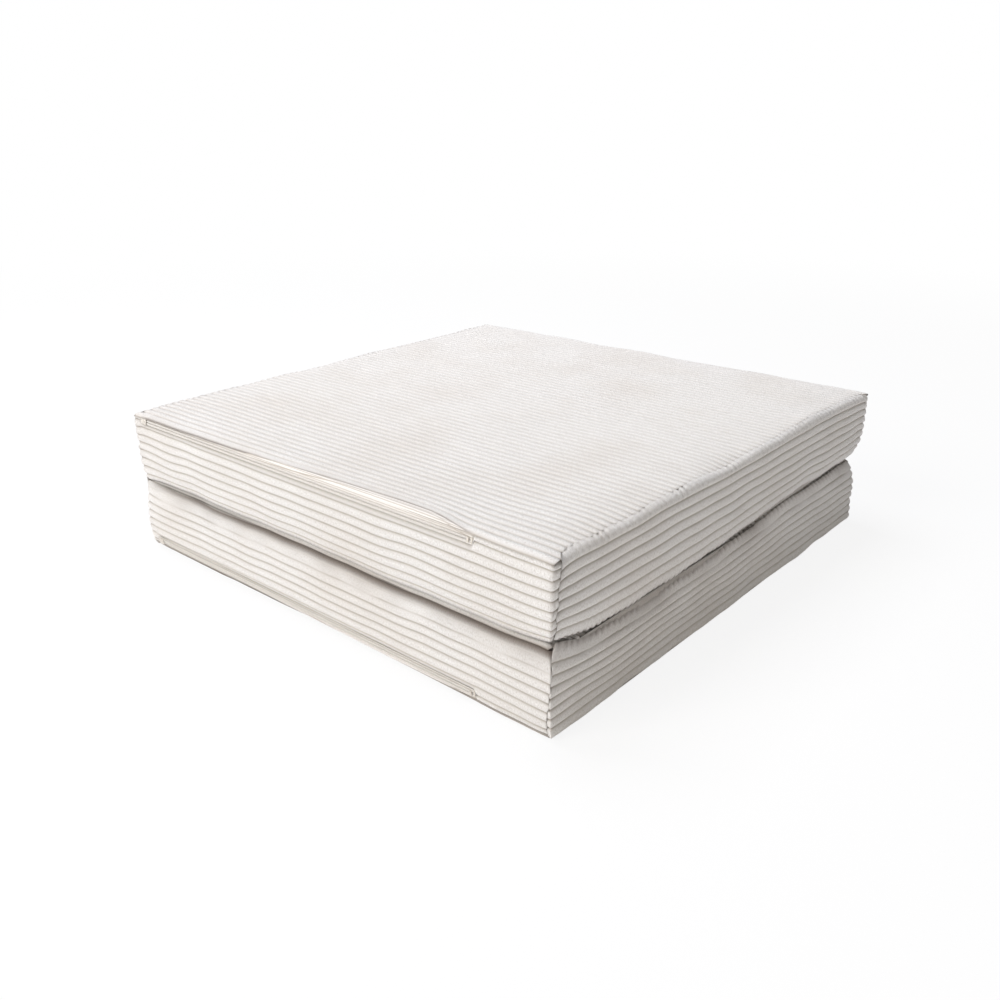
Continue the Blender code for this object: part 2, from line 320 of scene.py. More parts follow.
@dataclass(frozen=True)
class Moulded(Finish):
    """A smooth solid finish with fine unevenness: drawn nylon, cast zinc or sewing thread."""

    name: str
    colour: str
    worn: str
    roughness: float
    grain: float = 0.6 * MM
    wear: Ramp = (0.4, 0.75, 0.0, 0.7)
    grain_relief: float = 0.02 * MM

    def build(self) -> bpy.types.Material:
        """Builds the material, its unevenness fixed to the piece.

        Returns:
            The material.
        """
        made = bpy.data.materials.new(self.name)
        add = empty_tree(made)
        place = add("TexCoord", {}).outputs["Object"]
        grain = add("TexNoise", {"Vector": place, "Scale": 1 / self.grain, "Detail": 3.0})
        worn = add("MapRange", ramp(grain, self.wear))
        shades = {0: worn, 6: srgb(self.colour), 7: srgb(self.worn)}
        colour = add("Mix", shades, data_type="RGBA").outputs[2]
        relief = {"Height": grain, "Strength": 0.5, "Distance": self.grain_relief}
        return self.surface(made, colour, relief, {"Roughness": self.roughness})


@dataclass(frozen=True)
class Foam(Finish):
    """Cut polyurethane foam: pale, dry and matt, with open cells that pit its skin."""

    skin: str = "#F1EBD2"
    # cell: painted shade, darker in the pits of the open cells
    cell: str = "#D8CDA4"
    roughness: float = 0.95
    cell_size: float = 1.2 * MM
    cell_relief: float = 0.5 * MM

    def build(self) -> bpy.types.Material:
        """Builds the material, its cells drawn about twice their real size so that they show.

        Returns:
            The material.
        """
        made = bpy.data.materials.new("foam_cut_polyurethane")
        add = empty_tree(made)
        place = add("TexCoord", {}).outputs["Object"]
        cells = add("TexVoronoi", {"Vector": place, "Scale": 1 / self.cell_size})
        shades = {0: cells, 6: srgb(self.cell), 7: srgb(self.skin)}
        colour = add("Mix", shades, data_type="RGBA").outputs[2]
        relief = {"Height": cells, "Strength": 0.7, "Distance": self.cell_relief}
        return self.surface(made, colour, relief, {"Roughness": self.roughness})


@dataclass(frozen=True)
class StudioFloor:
    """A matt white sweep of paper, which the camera sees near to white, with a soft shadow."""

    paper: str = "#FAFAFA"
    glow: float = 0.87
    near: float = 0.9
    far: float = 3.2

    def build(self) -> bpy.types.Material:
        """Builds the material. Only camera and mirror rays see its glow, full from afar.

        Returns:
            The material.
        """
        made = bpy.data.materials.new("floor_matt_paper")
        add = empty_tree(made)
        place = add("TexCoord", {}).outputs["Object"]
        reach = add("VectorMath", {0: place}, operation="LENGTH").outputs["Value"]
        limits = ramp(reach, (self.near, self.far, self.glow, 1.0))
        glow = add("MapRange", limits, interpolation_type="SMOOTHSTEP")
        share = add("Math", {0: seen_directly(add), 1: glow}, operation="MULTIPLY")
        matt = add("BsdfDiffuse", {"Color": srgb(self.paper)})
        white = add("Emission", {"Color": (1, 1, 1, 1), "Strength": 1.0})
        add("OutputMaterial", {"Surface": add("MixShader", {0: share, 1: matt, 2: white})})
        return made


def fade(distance: Array, reach: float) -> Array:
    """Share that is left of what a seam or corner does, from 1 at it to 0 far off."""
    return np.exp(-distance / reach)


def bell(distance: Array, width: Array | float) -> Array:
    """Share from 1 in the middle of something soft to 0 on both sides of it."""
    return np.exp(-((distance / width) ** 2))


@dataclass(frozen=True)
class Unevenness:
    """Smooth, seeded unevenness of cloth: a sum of sine waves."""

    seed: int
    height: float
    shortest: float
    longest: float
    waves: int = 9

    def at(self, x: Array, y: Array | float = 0.0) -> Array:
        """Gives its height at places.

        Args:
            x: One coordinate of the places, in metres.
            y: The other, or zero along a line.

        Returns:
            Heights in metres, mostly within the set height.
        """
        drawn = np.random.default_rng(self.seed)
        lengths = np.geomspace(self.shortest, self.longest, self.waves)
        turns = drawn.uniform(-1.1, 1.1, self.waves)
        starts = drawn.uniform(0, 2 * np.pi, self.waves)
        weights = np.sqrt(lengths / self.longest)
        total = 0.0
        for length, turn, start, weight in zip(lengths, turns, starts, weights, strict=True):
            way = x * math.cos(turn) + y * math.sin(turn)
            total = total + weight * np.sin(2 * np.pi * way / length + start)
        return self.height * total / math.sqrt(2 * float(np.sum(weights**2)))


@dataclass(frozen=True)
class Sag:
    """A soft dip or rise of a seam: its middle and reach along the side, and its height."""

    middle: float
    reach: float
    height: float

    def at(self, along: Array) -> Array:
        """Gives its height at distances along the side."""
        return self.height * bell(along - self.middle, self.reach)


# How the fold settles under the weight of the upper half: it rises to the front corner and
# sags along the open side, the same for both halves
FOLD_SAGS = {
    Side.FRONT: (Sag(0.375, 0.035, 2.5 * MM), Sag(0.20, 0.10, -1.5 * MM)),
    Side.OPEN_SIDE: (
        Sag(-0.375, 0.030, 7.0 * MM), Sag(-0.250, 0.110, -11.5 * MM), Sag(-0.050, 0.150, -11.0 * MM)
    ),
}

# How the top seam of the open side settles
OPEN_SIDE_SEAM_SAGS = (Sag(-0.015, 0.060, -3.5 * MM), Sag(0.210, 0.080, 2.5 * MM))

# How far the front boxing reaches round the front corner, at its outer and at its fold seam
CORNER_WRAP = {Half.UPPER: (12.0 * MM, 6.0 * MM), Half.LOWER: (-6.0 * MM, 4.0 * MM)}


@dataclass(frozen=True)
class HalfForm:
    """Form of one half in its own frame: its middle is the origin and its outer face is +Z.

    The sizes are the CAD model's: the cover's crests on the flat faces and full sides, and how
    far the seams are drawn in and lie below the faces.
    """

    half: Half
    side: float = 0.750
    thickness: float = 0.1035
    fold_gap: float = 0.3 * MM
    cloth: float = 1.2 * MM
    wale: float = 2.6 * MM
    clearance: float = 0.3 * MM
    outer_draw: float = 3 * MM
    end_draw: float = 0.5 * MM
    foot_hinge_draw: float = 6.5 * MM
    top_hinge_draw: float = -1.5 * MM
    outer_bend_share: float = 0.55
    draw_height: float = 32 * MM
    fold_draw: float = 7 * MM
    corner_draw: float = 3 * MM
    front_corner_share: float = 0.2
    outer_fall: float = 2 * MM
    foot_fall: float = 0.8 * MM
    fold_fall: float = 1.6 * MM
    fall_reach: float = 17 * MM
    zip_start: float = -0.360
    zip_end: float = 0.270
    bow_middle: float = 0.195
    bow_inwards: float = 11.0 * MM
    bow_lift: float = 3.0 * MM
    lap: float = 2.4 * MM
    bow_reaches: tuple[float, float] = (0.235, 0.055)
    zip_blend: float = 0.02
    wrap_wander: Waves = (1.6 * MM, 0.009, 0.05)
    seam_wander: Waves = (1.6 * MM, 0.05, 0.28)
    seam_lifts: Waves = (1.0 * MM, 0.06, 0.25)
    fold_wander: Waves = (1.3 * MM, 0.07, 0.35)
    corner_stray: Waves = (0.9 * MM, 0.020, 0.09)
    corner_ripple: Waves = (2.2 * MM, 0.010, 0.05)
    front_calm: float = 0.3
    seam_reach: float = 0.026
    dip_reach: float = 0.012
    fold_reach: float = 0.055
    short_reach: float = 0.025
    roll_reach: float = 0.040
    hinge_closing: float = 0.96
    hinge_reach: float = 37 * MM
    edge_radius: float = 2.2 * MM
    shoulder_radius: float = 6.0 * MM
    edge_taper: float = 8 * MM
    seam_lap: float = 0.8 * MM
    fold_taper: float = 6 * MM
    corner_bulge: float = 3.5 * MM
    bulge_reach: float = 70 * MM

    @property
    def cover(self) -> float:
        """Thickness of the cloth at a crest."""
        return self.cloth + self.wale

    @property
    def level(self) -> float:
        """World height of its middle."""
        fold_plane = self.thickness + self.fold_gap / 2
        return fold_plane + self.half.value * (self.fold_gap + self.thickness) / 2

    @property
    def boxing_height(self) -> float:
        """Height of the boxing between its seams, at the middle of a side."""
        seams = self.outer_fall + self.fold_fall + 2 * (self.cover + self.clearance)
        return self.thickness - seams

    @property
    def seam_fall(self) -> float:
        """How far the outer face falls towards its seams."""
        return self.outer_fall if self.half is Half.UPPER else self.foot_fall

    def near_edge(self, share: Array) -> Array:
        """How near places are to a seam, from 0 in the middle to 1 at the seam."""
        return np.exp(-(1 - np.abs(share)) * self.side / 2 / self.fall_reach)

    def face_height(self, p: Array, q: Array, face: Face) -> Array:
        """Height of the crests of a face.

        Args:
            p: Shares of the half width along X.
            q: Shares of the half width along Y.
            face: The outer or the inner face.

        Returns:
            Heights above the middle, negative on the inner face.
        """
        fall = self.seam_fall
        if face is Face.INNER:
            fall = self.fold_fall * (1 - self.closed(p))
        return face.value * (self.thickness / 2 - fall * (self.near_edge(p) + self.near_edge(q)))

    def closed(self, p: Array | float) -> Array:
        """Share of the fold's draw that the hinge closes up, by share of the half width in X."""
        return self.hinge_closing * np.exp(-(1 + p) * self.side / 2 / self.hinge_reach)

    def draw_in(self, side: Side, down: Array | float, closed: Array | float = 0.0) -> Array:
        """How far a side is drawn in by its seams.

        Args:
            side: The side.
            down: Heights measured down from its outer seam.
            closed: Share of the fold's draw that the hinge closes up.

        Returns:
            The distances.
        """
        up = self.boxing_height - down
        seam = self.end_draw if side.ends_wales else self.outer_draw
        if side is Side.HINGE_SIDE:
            seam = self.top_hinge_draw if self.half is Half.UPPER else self.foot_hinge_draw
        outer = seam * np.clip(1 - down / self.draw_height, 0, 1) ** 2
        fold = self.fold_draw * np.clip(1 - up / self.draw_height, 0, 1) ** 2.2
        return outer + fold * (1 - closed)

    def side_out(
        self,
        side: Side,
        along: Array | float,
        down: Array | float,
        closed: Array | float = 0.0,
    ) -> Array:
        """Distance of the crests of a side from the middle of the half.

        Args:
            side: The side.
            along: Shares of the half width along the side.
            down: Heights measured down from the outer seam.
            closed: Share of the fold's draw that the hinge closes up.

        Returns:
            The distances.
        """
        corner = self.corner_draw * self.near_edge(along) * down / self.boxing_height
        # The front corner is filled out more than the others
        fuller = np.sign(along) == side.front_corner
        corner = corner * np.where(fuller, self.front_corner_share, 1.0)
        out = self.side / 2 - self.draw_in(side, down, closed) - corner
        if self.half is Half.UPPER and side in (Side.OPEN_SIDE, Side.BACK):
            towards = along if side is Side.OPEN_SIDE else -along
            away = (1 - towards) * self.side / 2
            out = out + self.corner_bulge * fade(away, self.bulge_reach)
        return out

    def half_widths(self, p: Array, q: Array, down: Array | float) -> tuple[Array, Array]:
        """Distances of the crests of the sides from the middle, along X and along Y.

        Args:
            p: Shares of the half width along X.
            q: Shares of the half width along Y.
            down: Heights measured down from the outer seams.

        Returns:
            The distance of the side at the places' own end of X, and the same for Y.
        """
        closed = self.closed(p)
        hinge = self.side_out(Side.HINGE_SIDE, -q, down)
        open_side = self.side_out(Side.OPEN_SIDE, q, down)
        front = self.side_out(Side.FRONT, p, down, closed)
        back = self.side_out(Side.BACK, -p, down, closed)
        return np.where(p < 0, hinge, open_side), np.where(q < 0, front, back)

    def rolls(self, side: Side, face: Face) -> bool:
        """Whether a side's boxing rolls over its edge, to a seam on the face."""
        if face is Face.INNER:
            return not side.ends_wales
        return side.ends_wales and self.half is Half.UPPER

    def roll_radius(self, face: Face) -> float:
        """Radius of the foam's edge that a boxing rolls over."""
        return self.shoulder_radius if face is Face.OUTER else self.edge_radius

    def roll_share(self, end: Array, face: Face, closed: Array | float = 0.0) -> Array:
        """How far a boxing rolls over its edge.

        Args:
            end: Distances from the nearer corner.
            face: The face that the edge belongs to.
            closed: Share of the fold's draw that the hinge closes up.

        Returns:
            Shares from 0 at a corner and where the fold is shut to 1.
        """
        taper = self.edge_taper if face is Face.OUTER else self.fold_taper
        return (1 - fade(end, taper)) * (1 - closed / self.hinge_closing) ** 1.5

    def corner_wrap(self, side: Side, share: Array, down: Array | float) -> Array:
        """How far a boxing's end reaches round the front corner, or stops short of it.

        Args:
            side: Its side.
            share: Shares of the half width along the side.
            down: Heights measured down from the outer seam.

        Returns:
            The distances, negative where it stops short.
        """
        way = side.front_corner
        seam, fold = CORNER_WRAP[self.half]
        reach = seam + (fold - seam) * down / self.boxing_height
        reach = reach + Unevenness(950 + self.half.value, *self.wrap_wander).at(down)
        return way * reach * (share * way > 0)

    def profile(self) -> tuple[Array, Array]:
        """Measures the cloth down a side.

        Returns:
            Heights measured down from the outer seam, and the length of cloth to each.
        """
        down = np.linspace(0, self.boxing_height, 500)
        steps = np.hypot(np.diff(down), np.diff(self.draw_in(Side.FRONT, down)))
        return down, np.concatenate(([0.0], np.cumsum(steps)))

    def zip_bow(self, along: Array) -> Array:
        """Share of the full bow of the cloth above the zip, at distances along the front."""
        reach = np.where(along < self.bow_middle, *self.bow_reaches)
        return bell(along - self.bow_middle, reach)

    def zip_lap(self, along: Array) -> Array:
        """How far the face's edge laps over the zip's tape, from 0 to 1 near its closed end."""
        into = np.clip((self.zip_end - along) / self.zip_blend, 0, 1)
        return into * np.clip(1 - 1.3 * self.zip_bow(along), 0, 1)

    def seam_drift(self, side: Side, along: Array) -> tuple[Array, Array]:
        """How the outer seam of a side wanders.

        Args:
            side: The side.
            along: Distances along it, in its own direction.

        Returns:
            How far the seam lies inwards of its true line, and above it.
        """
        seed = 100 + 10 * side.value + self.half.value
        calm = 1 - 0.7 * self.near_edge(along / (self.side / 2))
        inwards = Unevenness(seed, *self.seam_wander).at(along) * calm
        upwards = Unevenness(seed + 5, *self.seam_lifts).at(along) * calm
        if side is Side.OPEN_SIDE and self.half is Half.UPPER:
            upwards = upwards + sum(sag.at(along) for sag in OPEN_SIDE_SEAM_SAGS)
        if side is Side.FRONT:
            bow, lap = self.zip_bow(along), self.zip_lap(along)
            inwards = self.front_calm * inwards + self.bow_inwards * bow
            upwards = self.front_calm * upwards + self.bow_lift * bow - self.lap * lap
        return inwards, upwards

    def edge_shifts(self, face: Face, x: Array, y: Array, reach: float) -> Laid:
        """How far the wandering seams carry what lies beside them.

        Args:
            face: The face that the seams edge.
            x: Places along X.
            y: Places along Y.
            reach: Half width of the face.

        Returns:
            Shifts along X and Y, and in height towards the half's outer face.
        """
        move_x, move_y, lift = np.zeros_like(x), np.zeros_like(x), np.zeros_like(x)
        down = 0.0 if face is Face.OUTER else self.boxing_height
        for side in Side:
            cos, sin = side.turn
            along, out = x * cos + y * sin, x * sin - y * cos
            inside = np.clip(reach - out, 0, None)
            inwards = np.zeros_like(x)
            if face is Face.OUTER:
                near = fade(inside, self.seam_reach)
                drift, upwards = self.seam_drift(side, along)
                inwards = drift * near
                dip = fade(inside, self.dip_reach)
                lift += upwards * np.where(upwards < 0, dip, near)
            else:
                near = fade(inside, self.fold_reach)
                lift += self.half.value * self.fold_drift(side, along) * near
            if self.rolls(side, face):
                corner = float(self.side_out(Side.FRONT, 1.0, down))
                end = np.clip(1 - np.abs(along) / corner, 0, None) * self.side / 2
                short = np.clip(-self.corner_wrap(side, along, down), 0, None)
                end = end - short * fade(np.clip(end - short, 0, None), self.short_reach)
                shut = 0.0
                if face is Face.INNER:
                    shut = self.closed((along if side is Side.FRONT else -along) / self.side * 2)
                roll = self.roll_share(np.clip(end, 0, None), face, shut)
                roll = roll * bell(inside, self.roll_reach)
                inwards = inwards + (self.cover + self.roll_radius(face) - self.seam_lap) * roll
            move_x -= sin * inwards
            move_y += cos * inwards
        return move_x, move_y, lift

    def fold_drift(self, side: Side, along: Array) -> Array:
        """How far the fold seams of both halves wander upwards together, in the world.

        Args:
            side: Their side.
            along: Distances along it.

        Returns:
            The distances.
        """
        seed = 300 + 10 * side.value
        calm = 1 - self.near_edge(along / (self.side / 2))
        wander = Unevenness(seed, *self.fold_wander).at(along) * calm
        return wander + sum(sag.at(along) for sag in FOLD_SAGS.get(side, ()))

    def corner_drift(self, corner: int, length: Array) -> tuple[Array, Array]:
        """How the upright seam at a corner wanders.

        Args:
            corner: Its number, that of the side that it ends.
            length: Lengths of cloth from the outer seam.

        Returns:
            How far it strays outwards, and round towards the next side.
        """
        seed = 900 + 10 * (corner % 4) + self.half.value
        out = Unevenness(seed, *self.corner_stray).at(length)
        on = Unevenness(seed + 3, *self.corner_ripple).at(length)
        return out, on * (corner % 4 != Side.FRONT.value)

    def into_world(self, points: Array) -> Array:
        """Places points of the half's own frame in the world.

        Args:
            points: The points, one row each.

        Returns:
            The same points in the world.
        """
        placed = points.copy()
        placed[:, 2] = self.level + self.half.value * points[:, 2]
        return placed


ACROSS_FACE_WALE = (-1.0, -0.9, -0.68, -0.36, 0.0, 0.36, 0.68, 0.9)
ACROSS_SIDE_WALE = (-1.0, -0.94, -0.82, -0.64, -0.42, -0.15, 0.15, 0.42, 0.64, 0.82, 0.94)
FACE_WALES = 67
WALE_FULLNESS = 2.2
WALE_STEEPNESS = 0.85
# How far the swelling and the nubs of the pile move on from one wale to the next
SWELL_SHIFT = 1.37
NUB_SHIFT = 0.83
BACK_OF_CLOTH = 0.5
SEAM_ENDS = (0.0, 0.4 * MM, 1.0 * MM, 1.8 * MM, 2.8 * MM, 4.2 * MM, 6.2 * MM, 9.5 * MM, 14 * MM)
# Share of painted shade on the hidden back of the cloth
BACK_PAINTED_SHADE = 0.4

# The bar tack's stitches: how far each lies along the zip, in millimetres, and its lean in degrees
TACK_STITCHES = ((-0.7, 3), (-0.42, -4), (-0.14, 2), (0.14, -3), (0.42, 4), (0.7, -2))


def wale_height(phase: Array) -> Array:
    """Share of a wale's full height, from -1 at one groove to 1 at the next: a soft round back."""
    return (1 - np.abs(phase) ** WALE_FULLNESS) ** WALE_STEEPNESS


def groove_depth(round_back: Array) -> Array:
    """How deep in a groove the pile is, from 0 to 1, for the material to read."""
    return np.clip(1 - round_back, 0, 1) ** 1.5


def rolled(distance: Array, radius: float, least: Array | float) -> Array:
    """Share of the cloth's thickness near a seam that it is turned into.

    Args:
        distance: Distances from the seam.
        radius: Distance over which the cloth rolls down.
        least: The share left at the seam itself.

    Returns:
        Shares from least to 1.
    """
    into = 1 - np.clip(distance / radius, 0, 1)
    return least + (1 - least) * np.sqrt(1 - into * into)


def spread_places(half_length: float, step: float) -> Array:
    """Places along a panel, even in its middle and close together near its two seams.

    Args:
        half_length: Half of the panel's length.
        step: Spacing in the middle.

    Returns:
        Shares of the half length, from -1 to 1.
    """
    inner = half_length - SEAM_ENDS[-1]
    count = max(2, round(2 * inner / step))
    middle = np.linspace(-inner, inner, count + 1)
    edge = half_length - np.array(SEAM_ENDS[:-1])
    return np.concatenate((-edge, middle, edge[::-1])) / half_length


def mesh_from(bm: bmesh.types.BMesh, name: str) -> bpy.types.Mesh:
    """Turns a bmesh into a mesh.

    Args:
        bm: The shape, which is used up.
        name: Name of the mesh.

    Returns:
        The mesh.
    """
    mesh = bpy.data.meshes.new(name)
    bm.to_mesh(mesh)
    bm.free()
    return mesh


def vertex_places(mesh: bpy.types.Mesh) -> Array:
    """Reads the places of a mesh's vertices.

    Args:
        mesh: The mesh.

    Returns:
        The places, one row each.
    """
    places = np.empty(len(mesh.vertices) * 3)
    mesh.vertices.foreach_get("co", places)
    return places.reshape(-1, 3)


def new_object(name: str, data: bpy.types.ID) -> bpy.types.Object:
    """Makes an object and puts it in the scene.

    Args:
        name: Its name.
        data: Its mesh, lamp or camera.

    Returns:
        The object.
    """
    made = bpy.data.objects.new(name, data)
    bpy.context.scene.collection.objects.link(made)
    return made


def finish_mesh(mesh: bpy.types.Mesh) -> bpy.types.Object:
    """Turns every face of a mesh outwards, smooths it and puts it in the scene.

    Args:
        mesh: The mesh, in world coordinates.

    Returns:
        Its object, of the same name.
    """
    bm = bmesh.new()
    bm.from_mesh(mesh)
    bm.normal_update()
    bmesh.ops.recalc_face_normals(bm, faces=bm.faces)
    for face in bm.faces:
        face.smooth = True
    bm.to_mesh(mesh)
    bm.free()
    mesh.update()
    return new_object(mesh.name, mesh)


def piece_from(bm: bmesh.types.BMesh, name: str, lie: Matrix) -> bpy.types.Object:
    """Makes an object of a bmesh, which is used up, with its place in the world in its mesh."""
    bmesh.ops.transform(bm, matrix=lie, verts=bm.verts)
    return finish_mesh(mesh_from(bm, name))


def add_rod(bm: bmesh.types.BMesh, sides: int, radius: float, length: float, place: Matrix) -> None:
    """Adds a closed round rod along its own Z.

    Args:
        bm: The shape that it joins.
        sides: Number of its sides.
        radius: Its radius.
        length: Its length.
        place: Where it lies.
    """
    size = {"radius1": radius, "radius2": radius, "depth": length}
    bmesh.ops.create_cone(bm, cap_ends=True, segments=sides, matrix=place, **size)


def add_block(bm: bmesh.types.BMesh, size: Place, middle: Place) -> list[bmesh.types.BMVert]:
    """Adds a block of a size round a middle, and gives its vertices."""
    shape = Matrix.Translation(middle) @ Matrix.Diagonal((*size, 1))
    return bmesh.ops.create_cube(bm, size=1, matrix=shape)["verts"]


@dataclass
class ClothSheet:
    """A sheet of cloth with a fine outer face and a coarse back, closed along its seams."""

    name: str
    columns: Array
    rows: Array
    column_bends: tuple[int, ...]
    row_bends: tuple[int, ...]

    def cage(self) -> bmesh.types.BMesh:
        """Makes a block in steps of whole columns and rows, finely divided on its outer face.

        Returns:
            The block. Its outer face lies at the higher of two levels.
        """
        wide, high = len(self.columns) - 1, len(self.rows) - 1
        bm = bmesh.new()
        add_block(bm, (wide, high, 1), (wide / 2, high / 2, 0))
        for axis, bends in enumerate((self.column_bends, self.row_bends)):
            for bend in bends:
                point, normal = Vector((0, 0, 0)), Vector((0, 0, 0))
                point[axis], normal[axis] = bend, 1
                whole = bm.verts[:] + bm.edges[:] + bm.faces[:]
                bmesh.ops.bisect_plane(bm, geom=whole, dist=1e-4, plane_co=point, plane_no=normal)
        for axis in (0, 1):
            spans: dict[int, list] = {}
            for edge in bm.edges:
                start, end = (vert.co for vert in edge.verts)
                span = round(abs(start[axis] - end[axis]))
                if span > 1 and min(start.z, end.z) > 0:
                    spans.setdefault(span, []).append(edge)
            for span, edges in spans.items():
                bmesh.ops.subdivide_edges(bm, edges=edges, cuts=span - 1)
        return bm

    def lay(self, column: Array, row: Array, outer: Array) -> Laid:
        """Lays the sheet over the foam.

        Args:
            column: The column number of each vertex.
            row: Its row number.
            outer: Whether it is on the outer face.

        Returns:
            The places in the world, two marks for each, which are how deep in a groove it is and
            how much painted shade of a seam, crease or fold it takes, and its place on the cloth.
        """
        raise NotImplementedError

    def build(self) -> bpy.types.Object:
        """Builds the sheet.

        Returns:
            Its object, without a material.
        """
        mesh = mesh_from(self.cage(), self.name)
        steps = vertex_places(mesh)
        column, row = (np.rint(steps[:, axis]).astype(int) for axis in (0, 1))
        points, marks, cloth = self.lay(column, row, steps[:, 2] > 0)
        mesh.vertices.foreach_set("co", points.ravel())
        # The tucked attribute carries painted shade
        for name, mark in zip(("groove", "tucked"), marks.T, strict=True):
            marked = mesh.attributes.new(name, "FLOAT", "POINT")
            marked.data.foreach_set("value", mark.astype(np.float32))
        corners = np.empty(len(mesh.loops), dtype=np.int32)
        mesh.loops.foreach_get("vertex_index", corners)
        layer = mesh.uv_layers.new(name="cloth")
        layer.uv.foreach_set("vector", cloth[corners].astype(np.float32).ravel())
        return finish_mesh(mesh)


@dataclass
class FacePanel(ClothSheet):
    """A square panel over the outer or the inner face of a half, with its wales along X."""

    form: HalfForm
    face: Face
    phases: Array
    foot_inset: float = 4.0 * MM
    open_inset: float = 3.0 * MM
    swell: Waves = (0.10, 0.03, 0.12)
    nubs: Waves = (0.12 * MM, 0.006, 0.016)
    lifts: Waves = (0.9 * MM, 0.14, 0.5)
    wander: Waves = (0.6 * MM, 0.09, 0.35)
    fray: Waves = (0.55, 2.1, 11.0)
    calm_reach: float = 0.02
    hem_end: float = 8 * MM
    hem_blend: float = 3 * MM
    hem_height: float = 0.55
    # Painted shadow line under the hem's edge, along the zip
    hem_shadow: float = 0.75
    hem_shadow_width: float = 1.3 * MM
    end_roll: float = 3.5 * MM
    end_least: float = 0.96
    hinge_end_least: float = 0.75
    open_end_least: float = 0.6
    seam_roll: float = 4.0 * MM
    seam_least: float = 0.15
    # Painted shade where the wales end at the seams: its reach, and its share on crests and in
    # grooves
    seam_shade_reach: float = 4.0 * MM
    outer_seam_shades: tuple[float, float] = (0.10, 0.75)
    inner_seam_shades: tuple[float, float] = (0.55, 0.45)
    notch: float = 1.8 * MM
    fold_notch: float = 2.6 * MM
    notch_reach: float = 2e-3

    @classmethod
    def cut(cls, form: HalfForm, face: Face) -> "FacePanel":
        """Cuts the panel for a face.

        Args:
            form: The half that it covers.
            face: The face.

        Returns:
            The panel.
        """
        columns = spread_places(form.side / 2, 5.6 * MM)
        phases = np.array([*(ACROSS_FACE_WALE * FACE_WALES), 1.0])
        per = len(ACROSS_FACE_WALE)
        wale = np.repeat(np.arange(FACE_WALES), per)
        rows = np.array([*((wale + (phases[:-1] + 1) / 2) * 2 / FACE_WALES - 1), 1.0])
        last, high = len(columns) - 1, len(rows) - 1
        bends = (8, 14, last // 2, last - 14, last - 8)
        row_bends = (2 * per, 4 * per, FACE_WALES // 2 * per, high - 4 * per, high - 2 * per)
        if face is Face.INNER:
            # Its back follows the sags of the fold
            bends = (*range(8, last - 8, 6), last - 8)
            row_bends = (*range(2 * per, high - 2 * per, 4 * per), high - 2 * per)
        name = f"{form.half.prefix}_{face.name.lower()}_cover"
        return cls(name, columns, rows, bends, row_bends, form, face, phases)

    def lay(self, column: Array, row: Array, outer: Array) -> Laid:
        """Lays the panel over its face.

        Args:
            column: The column number of each vertex.
            row: Its row number.
            outer: Whether it is on the outer face.

        Returns:
            What ClothSheet.lay returns.
        """
        form, away = self.form, self.face.value
        p, q, phase = self.columns[column], self.rows[row], self.phases[row]
        outside = self.face is Face.OUTER
        foot = outside and form.half is Half.LOWER
        down = 0.0 if outside else form.boxing_height
        reach_x, reach_y = form.half_widths(p, q, down)
        if foot:
            reach_x = reach_x - self.foot_inset
        if not outside:
            reach_x = reach_x - np.where(p > 0, self.open_inset, 0)
        x, y = p * reach_x, q * reach_y
        wale = np.floor((q + 1) / 2 * FACE_WALES - 1e-6)
        seed = 500 + 20 * form.half.value + away

        # Each wale swells and thins along its length, and nubs of pile stand up on it
        swell = 1 + Unevenness(seed, *self.swell).at(x, wale * SWELL_SHIFT)
        nubs = Unevenness(seed + 1, *self.nubs).at(x, wale * NUB_SHIFT)
        round_back = wale_height(phase)
        edge_x, edge_y = (1 - np.abs(p)) * reach_x, (1 - np.abs(q)) * reach_y
        into = np.clip(np.minimum(x - form.zip_start, form.zip_end - x) / form.zip_blend, 0, 1)
        if outside:
            hem = into * np.clip((self.hem_end - edge_y) / self.hem_blend, 0, 1) * (q < 0)
            round_back = round_back * (1 - hem) + self.hem_height * hem
        least = np.where(p < 0, self.hinge_end_least, self.open_end_least)
        roll = rolled(edge_x, self.end_roll, self.end_least if outside else least)
        roll = roll * rolled(edge_y, self.seam_roll, self.seam_least)
        depth = (form.cloth + form.wale * round_back * swell + nubs * round_back) * roll
        depth = np.where(outer, depth, 0)

        calm = (1 - fade(edge_x, self.calm_reach)) * (1 - fade(edge_y, self.calm_reach))
        height = form.face_height(p, q, self.face) + away * (depth - form.cover)
        height = height + Unevenness(seed + 2, *self.lifts).at(x, y) * calm
        wander = Unevenness(seed + 3, *self.wander).at(x, y) * calm

        # The ends of the grooves are drawn in a little further than the wales between them
        ragged = 1 + Unevenness(seed + 6, *self.fray).at(wale)
        notch = (self.notch if outside else self.fold_notch * ragged) * (1 - round_back)
        notch = notch * fade(edge_x, self.notch_reach)
        reach = float(form.side_out(Side.FRONT, 0.0, down))
        move_x, move_y, lift = form.edge_shifts(self.face, x, y, reach)
        if not outside:
            height = np.maximum(height, -form.thickness / 2)
        height = height + lift
        if foot:
            height = np.minimum(height, form.thickness / 2)
        points = np.stack((x - np.sign(p) * notch + move_x, y + wander + move_y, height), axis=1)

        # Painted shade: the wales' ends at the seams, darkest in the grooves and serrated on the
        # inner face, and a painted shadow line under the hem's edge
        groove = np.where(outer, groove_depth(round_back), BACK_OF_CLOTH)
        crest_seam_shade, groove_seam_shade = self.outer_seam_shades if outside else self.inner_seam_shades
        seam = crest_seam_shade + groove_seam_shade * groove
        if outside:
            seam = seam * fade(edge_x, self.seam_shade_reach)
            hem = bell(edge_y, self.hem_shadow_width) * (q < 0)
            seam = np.maximum(seam, self.hem_shadow * into * hem)
        else:
            seam = np.clip(seam * ragged, 0, 1) * fade(edge_x, self.seam_shade_reach)
        marks = np.stack((groove, np.where(outer, seam, BACK_PAINTED_SHADE)), axis=1)
        return form.into_world(points), marks, np.stack((x, y), axis=1)


